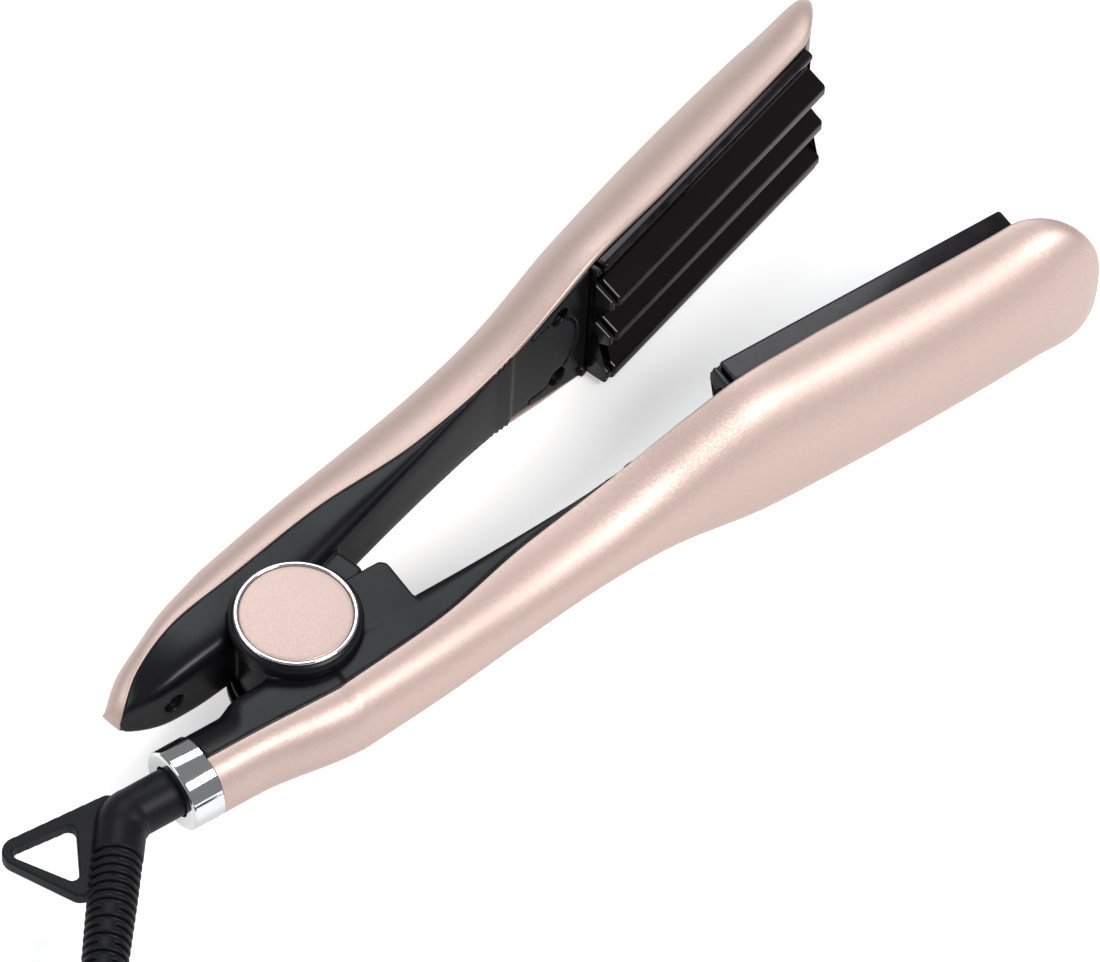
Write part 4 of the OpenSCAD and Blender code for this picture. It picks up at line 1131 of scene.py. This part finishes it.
relief = {"radius": 6.3, "endRadius": 5.2, "elbowR": 8.0, "grooveStart": 11.5, "groovePitch": 2.4, "grooveW": 1.1,
          "grooveDeep": 1.2, "fullGrooves": 6, "slotSweep": 140.0, "ribDeep": 2.4, "taperPower": 1.6, "loopT": 3.6,
          "voxel": 0.27, "ferruleR": 10.5, "ferruleLen": 8.8}
ferruleRear = arm["ferruleFront"] - relief["ferruleLen"]


def ferruleMesh():
    r, n = relief["ferruleR"], relief["ferruleLen"]
    hole = relief["radius"] + 0.45
    outline = [(hole + 0.2, 0), (r - 0.9, 0)] + arc(r - 0.9, 0.9, 0.9, -75, 0, 5)
    outline += [(r, n - 0.3), (r - 0.3, n), (r - 1.3, n), (r - 1.3, 2.4), (hole, 2.4), (hole, 0.2), (hole + 0.2, 0)]
    return latheMesh(outline, lambda x, y, h: Vector((ferruleRear + h, cordV + x, midZ + y)) * mm)


finished("chromeFerrule", ferruleMesh(), "cord_arm", "chrome", "ferrule")


def ribTree():
    # ribs along a straight stretch, and bridges that close every second groove but for two slots
    tree, shape, add, calc, given = shapeTree("reliefRibs", {
        "Int": ["Rib Count", "Bridge Count"],
        "Float": ["Pitch", "Rib Width", "Rib Depth", "First Radius", "Last Share", "Taper Power", "Bridge Sweep",
                  "Bridge Start"],
        "Material": ["Finish"]})
    height = add("SeparateXYZ", {0: shape("InputPosition").outputs[0]}).outputs["Z"]
    share = calc("DIVIDE", height, calc("MULTIPLY", given["Pitch"], given["Rib Count"]))
    share = calc("POWER", calc("MAXIMUM", share, 0.0), given["Taper Power"])
    narrow = calc("ADD", calc("MULTIPLY", share, calc("SUBTRACT", given["Last Share"], 1.0)), 1.0)
    scale = add("CombineXYZ", {"X": narrow, "Y": narrow, "Z": 1.0}).outputs[0]
    middle = calc("SUBTRACT", given["First Radius"], calc("MULTIPLY", given["Rib Depth"], 0.5))

    def swept(line, wide):
        outline = shape("CurvePrimitiveQuadrilateral", {"Width": given["Rib Depth"], "Height": wide}).outputs[0]
        soft = shape("FilletCurve", {"Curve": outline, "Radius": 0.00018, "Count": 3}, mode="POLY").outputs[0]
        return shape("CurveToMesh", {"Curve": line, "Profile Curve": soft, "Fill Caps": True}).outputs[0]

    def repeated(piece, count, pitch, start):
        step, first = (add("CombineXYZ", {"Z": z}).outputs[0] for z in (pitch, start))
        line = shape("MeshLine", {"Count": count, "Start Location": first, "Offset": step}).outputs[0]
        return shape("InstanceOnPoints", {"Points": line, "Instance": piece, "Scale": scale}).outputs[0]
    circle = shape("CurvePrimitiveCircle", {"Resolution": 90, "Radius": middle}).outputs[0]
    ribs = repeated(swept(circle, given["Rib Width"]), given["Rib Count"], given["Pitch"], 0.0)
    bow = shape("CurveArc", {"Resolution": 16, "Radius": middle, "Sweep Angle": given["Bridge Sweep"],
                             "Start Angle": calc("MULTIPLY", given["Bridge Sweep"], -0.5)}).outputs[0]
    bridge = swept(bow, calc("MULTIPLY", given["Pitch"], 0.8))
    other = shape("Transform", {"Geometry": bridge, "Rotation": (0, 0, math.pi)}).outputs[0]
    bridges = repeated(merged(tree, [bridge, other]), given["Bridge Count"], calc("MULTIPLY", given["Pitch"], 2.0),
                       given["Bridge Start"])
    return endTree(tree, merged(tree, [ribs, bridges]), given["Finish"])


def reliefMesh(c, r):
    side = Vector((0, 0, 1)).cross(reliefWay)
    elbow = Vector((c["elbowU"], cordV, midZ))

    def onAxis(x, y, t):
        return (elbow + reliefWay * t + side * y + Vector((0, 0, -1)) * x) * mm
    leg = r["elbowR"] * math.tan(math.radians(c["reliefBend"] / 2))
    first = r["grooveStart"]
    grooveCount = int((c["reliefLen"] - 2 - first) / r["groovePitch"])
    full = r["radius"] - 0.1

    def radiusAt(t):
        return full + (r["endRadius"] - full) * (max(0, t - first) / (c["reliefLen"] - first)) ** r["taperPower"]
    # straight part in the ferrule, bend, and smooth start of the ribbed part, as one swept tube
    bendU = c["elbowU"] + leg
    line = [(Vector((bendU + (ferruleRear + 4 - bendU) * (1 - k / 6), cordV, midZ)), r["radius"]) for k in range(7)]
    centre = Vector((bendU, cordV - r["elbowR"], midZ))
    for k in range(1, 15):
        swell = 0.35 * math.sin(math.pi * k / 14)
        line.append((centre + r["elbowR"] * heading(90 + c["reliefBend"] * k / 14), r["radius"] + swell))
    line += [(elbow + reliefWay * t, r["radius"]) for t in (leg + 1.5, leg + 3, first - 1.8, first - 0.6)]
    line += [(elbow + reliefWay * (first - 0.1), r["radius"] - 0.1)]
    rings = []
    rise = Vector((0, 0, 1))
    for i, (p, rad) in enumerate(line):
        way = (line[min(i + 1, len(line) - 1)][0] - line[max(i - 1, 0)][0]).normalized()
        across = rise.cross(way).normalized()
        rings.append([(p + across * x + rise * y) * mm for x, y in disc(0, 0, rad, 72)])
    parts = [loftMesh(rings)]
    # core under the grooves, and the closed end
    core = [(0, first - 1)]
    core += [(radiusAt(t) - r["grooveDeep"], t) for t in np.linspace(first - 1, c["reliefLen"] - 2.4, 24)]
    last = first + grooveCount * r["groovePitch"] - 0.2
    core += [(radiusAt(last) - 0.2, last), (radiusAt(last), last + 0.2), (r["endRadius"], c["reliefLen"] - 0.5),
             (r["endRadius"] - 0.5, c["reliefLen"]), (0, c["reliefLen"])]
    core.sort(key=lambda p: p[1])
    parts.append(latheMesh(core, onAxis, 90))
    # hang loop: a flat eye beside the bend
    outer = [(-1.2, 4.2, 3.0), (-25.9, 4.9, 4.1), (-18.8, -10.8, 3.4), (-10.5, -9.5, 2.0)]
    hole = [(-25.8, 4.3, 1.9), (-13.2, 3.0, 1.9), (-19.0, -7.5, 1.7)]

    def eye(discs, half):
        def wrap(bm):
            for x, y in [dot for spot in discs for dot in disc(*spot, 40)]:
                for z in (-half, half):
                    bm.verts.new((elbow + Vector((x, y, z))) * mm)
            bmesh.ops.convex_hull(bm, input=bm.verts)
            bmesh.ops.delete(bm, geom=[v for v in bm.verts if not v.link_faces], context="VERTS")
            bmesh.ops.recalc_face_normals(bm, faces=bm.faces)
        return edited(bpy.data.meshes.new("eye"), wrap)
    parts.append(cut(eye(outer, r["loopT"] / 2), [eye(hole, r["loopT"])]))

    pitch = r["groovePitch"]
    values = {"Rib Count": grooveCount, "Bridge Count": (grooveCount - r["fullGrooves"]) // 2, "Pitch": pitch * mm,
              "Rib Width": (pitch - r["grooveW"]) * mm, "Rib Depth": r["ribDeep"] * mm, "First Radius": full * mm,
              "Last Share": r["endRadius"] / full, "Taper Power": r["taperPower"],
              "Bridge Sweep": math.radians(180 - r["slotSweep"]),
              "Bridge Start": (r["fullGrooves"] + 0.5) * pitch * mm, "Finish": finishes["rubber"]}
    ribs = baked(bpy.data.meshes.new("ribs"), lambda thing: addNodesTo(thing, ribTree(), values))
    start = first + r["grooveW"] + (pitch - r["grooveW"]) / 2
    turn = Matrix.Identity(4)
    for row in range(3):
        turn[row][0], turn[row][1], turn[row][2] = (Vector((0, 0, -1))[row], side[row], reliefWay[row])
        turn[row][3] = ((elbow + reliefWay * start) * mm)[row]
    ribs.transform(turn)

    def weld(bm):
        bmesh.ops.remove_doubles(bm, verts=bm.verts, dist=1e-6)
        bmesh.ops.recalc_face_normals(bm, faces=bm.faces)
    parts.append(edited(ribs, weld))
    return fused(parts, r["voxel"], 0.5, 2)


mesh = reliefMesh(cord, relief)
markEdges(mesh, 0.8)
finished("ribbedRelief", mesh, "swivel", "rubber", "strain_relief")
print("strain relief ready")

# ---- what keeps its CAD shape gets its finish ----

kept = {
    "circuit_board": "board", "power_button": "black_shell", "indicator_lens": "lens", "pivot_pin": "steel",
    "pivot_washers": "nylon", "torsion_spring": "steel", "cord_tie": "nylon", "plug_body": "rubber",
    "plug_pins": "steel", "lower_heater": "ceramic", "upper_heater": "ceramic", "lower_thermostat": "steel",
    "upper_thermostat": "steel", "lower_wires": "wire", "upper_wires": "wire",
}
for name, finish in kept.items():
    mesh = nodes[name].data
    mesh.materials.clear()
    mesh.materials.append(finishes[finish])
print("kept nodes finished:", len(kept))

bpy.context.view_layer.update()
total = sum(len(o.data.loop_triangles) or len(o.data.polygons) for o in scene.objects if o.type == "MESH")
print("all pieces made, faces about", total)
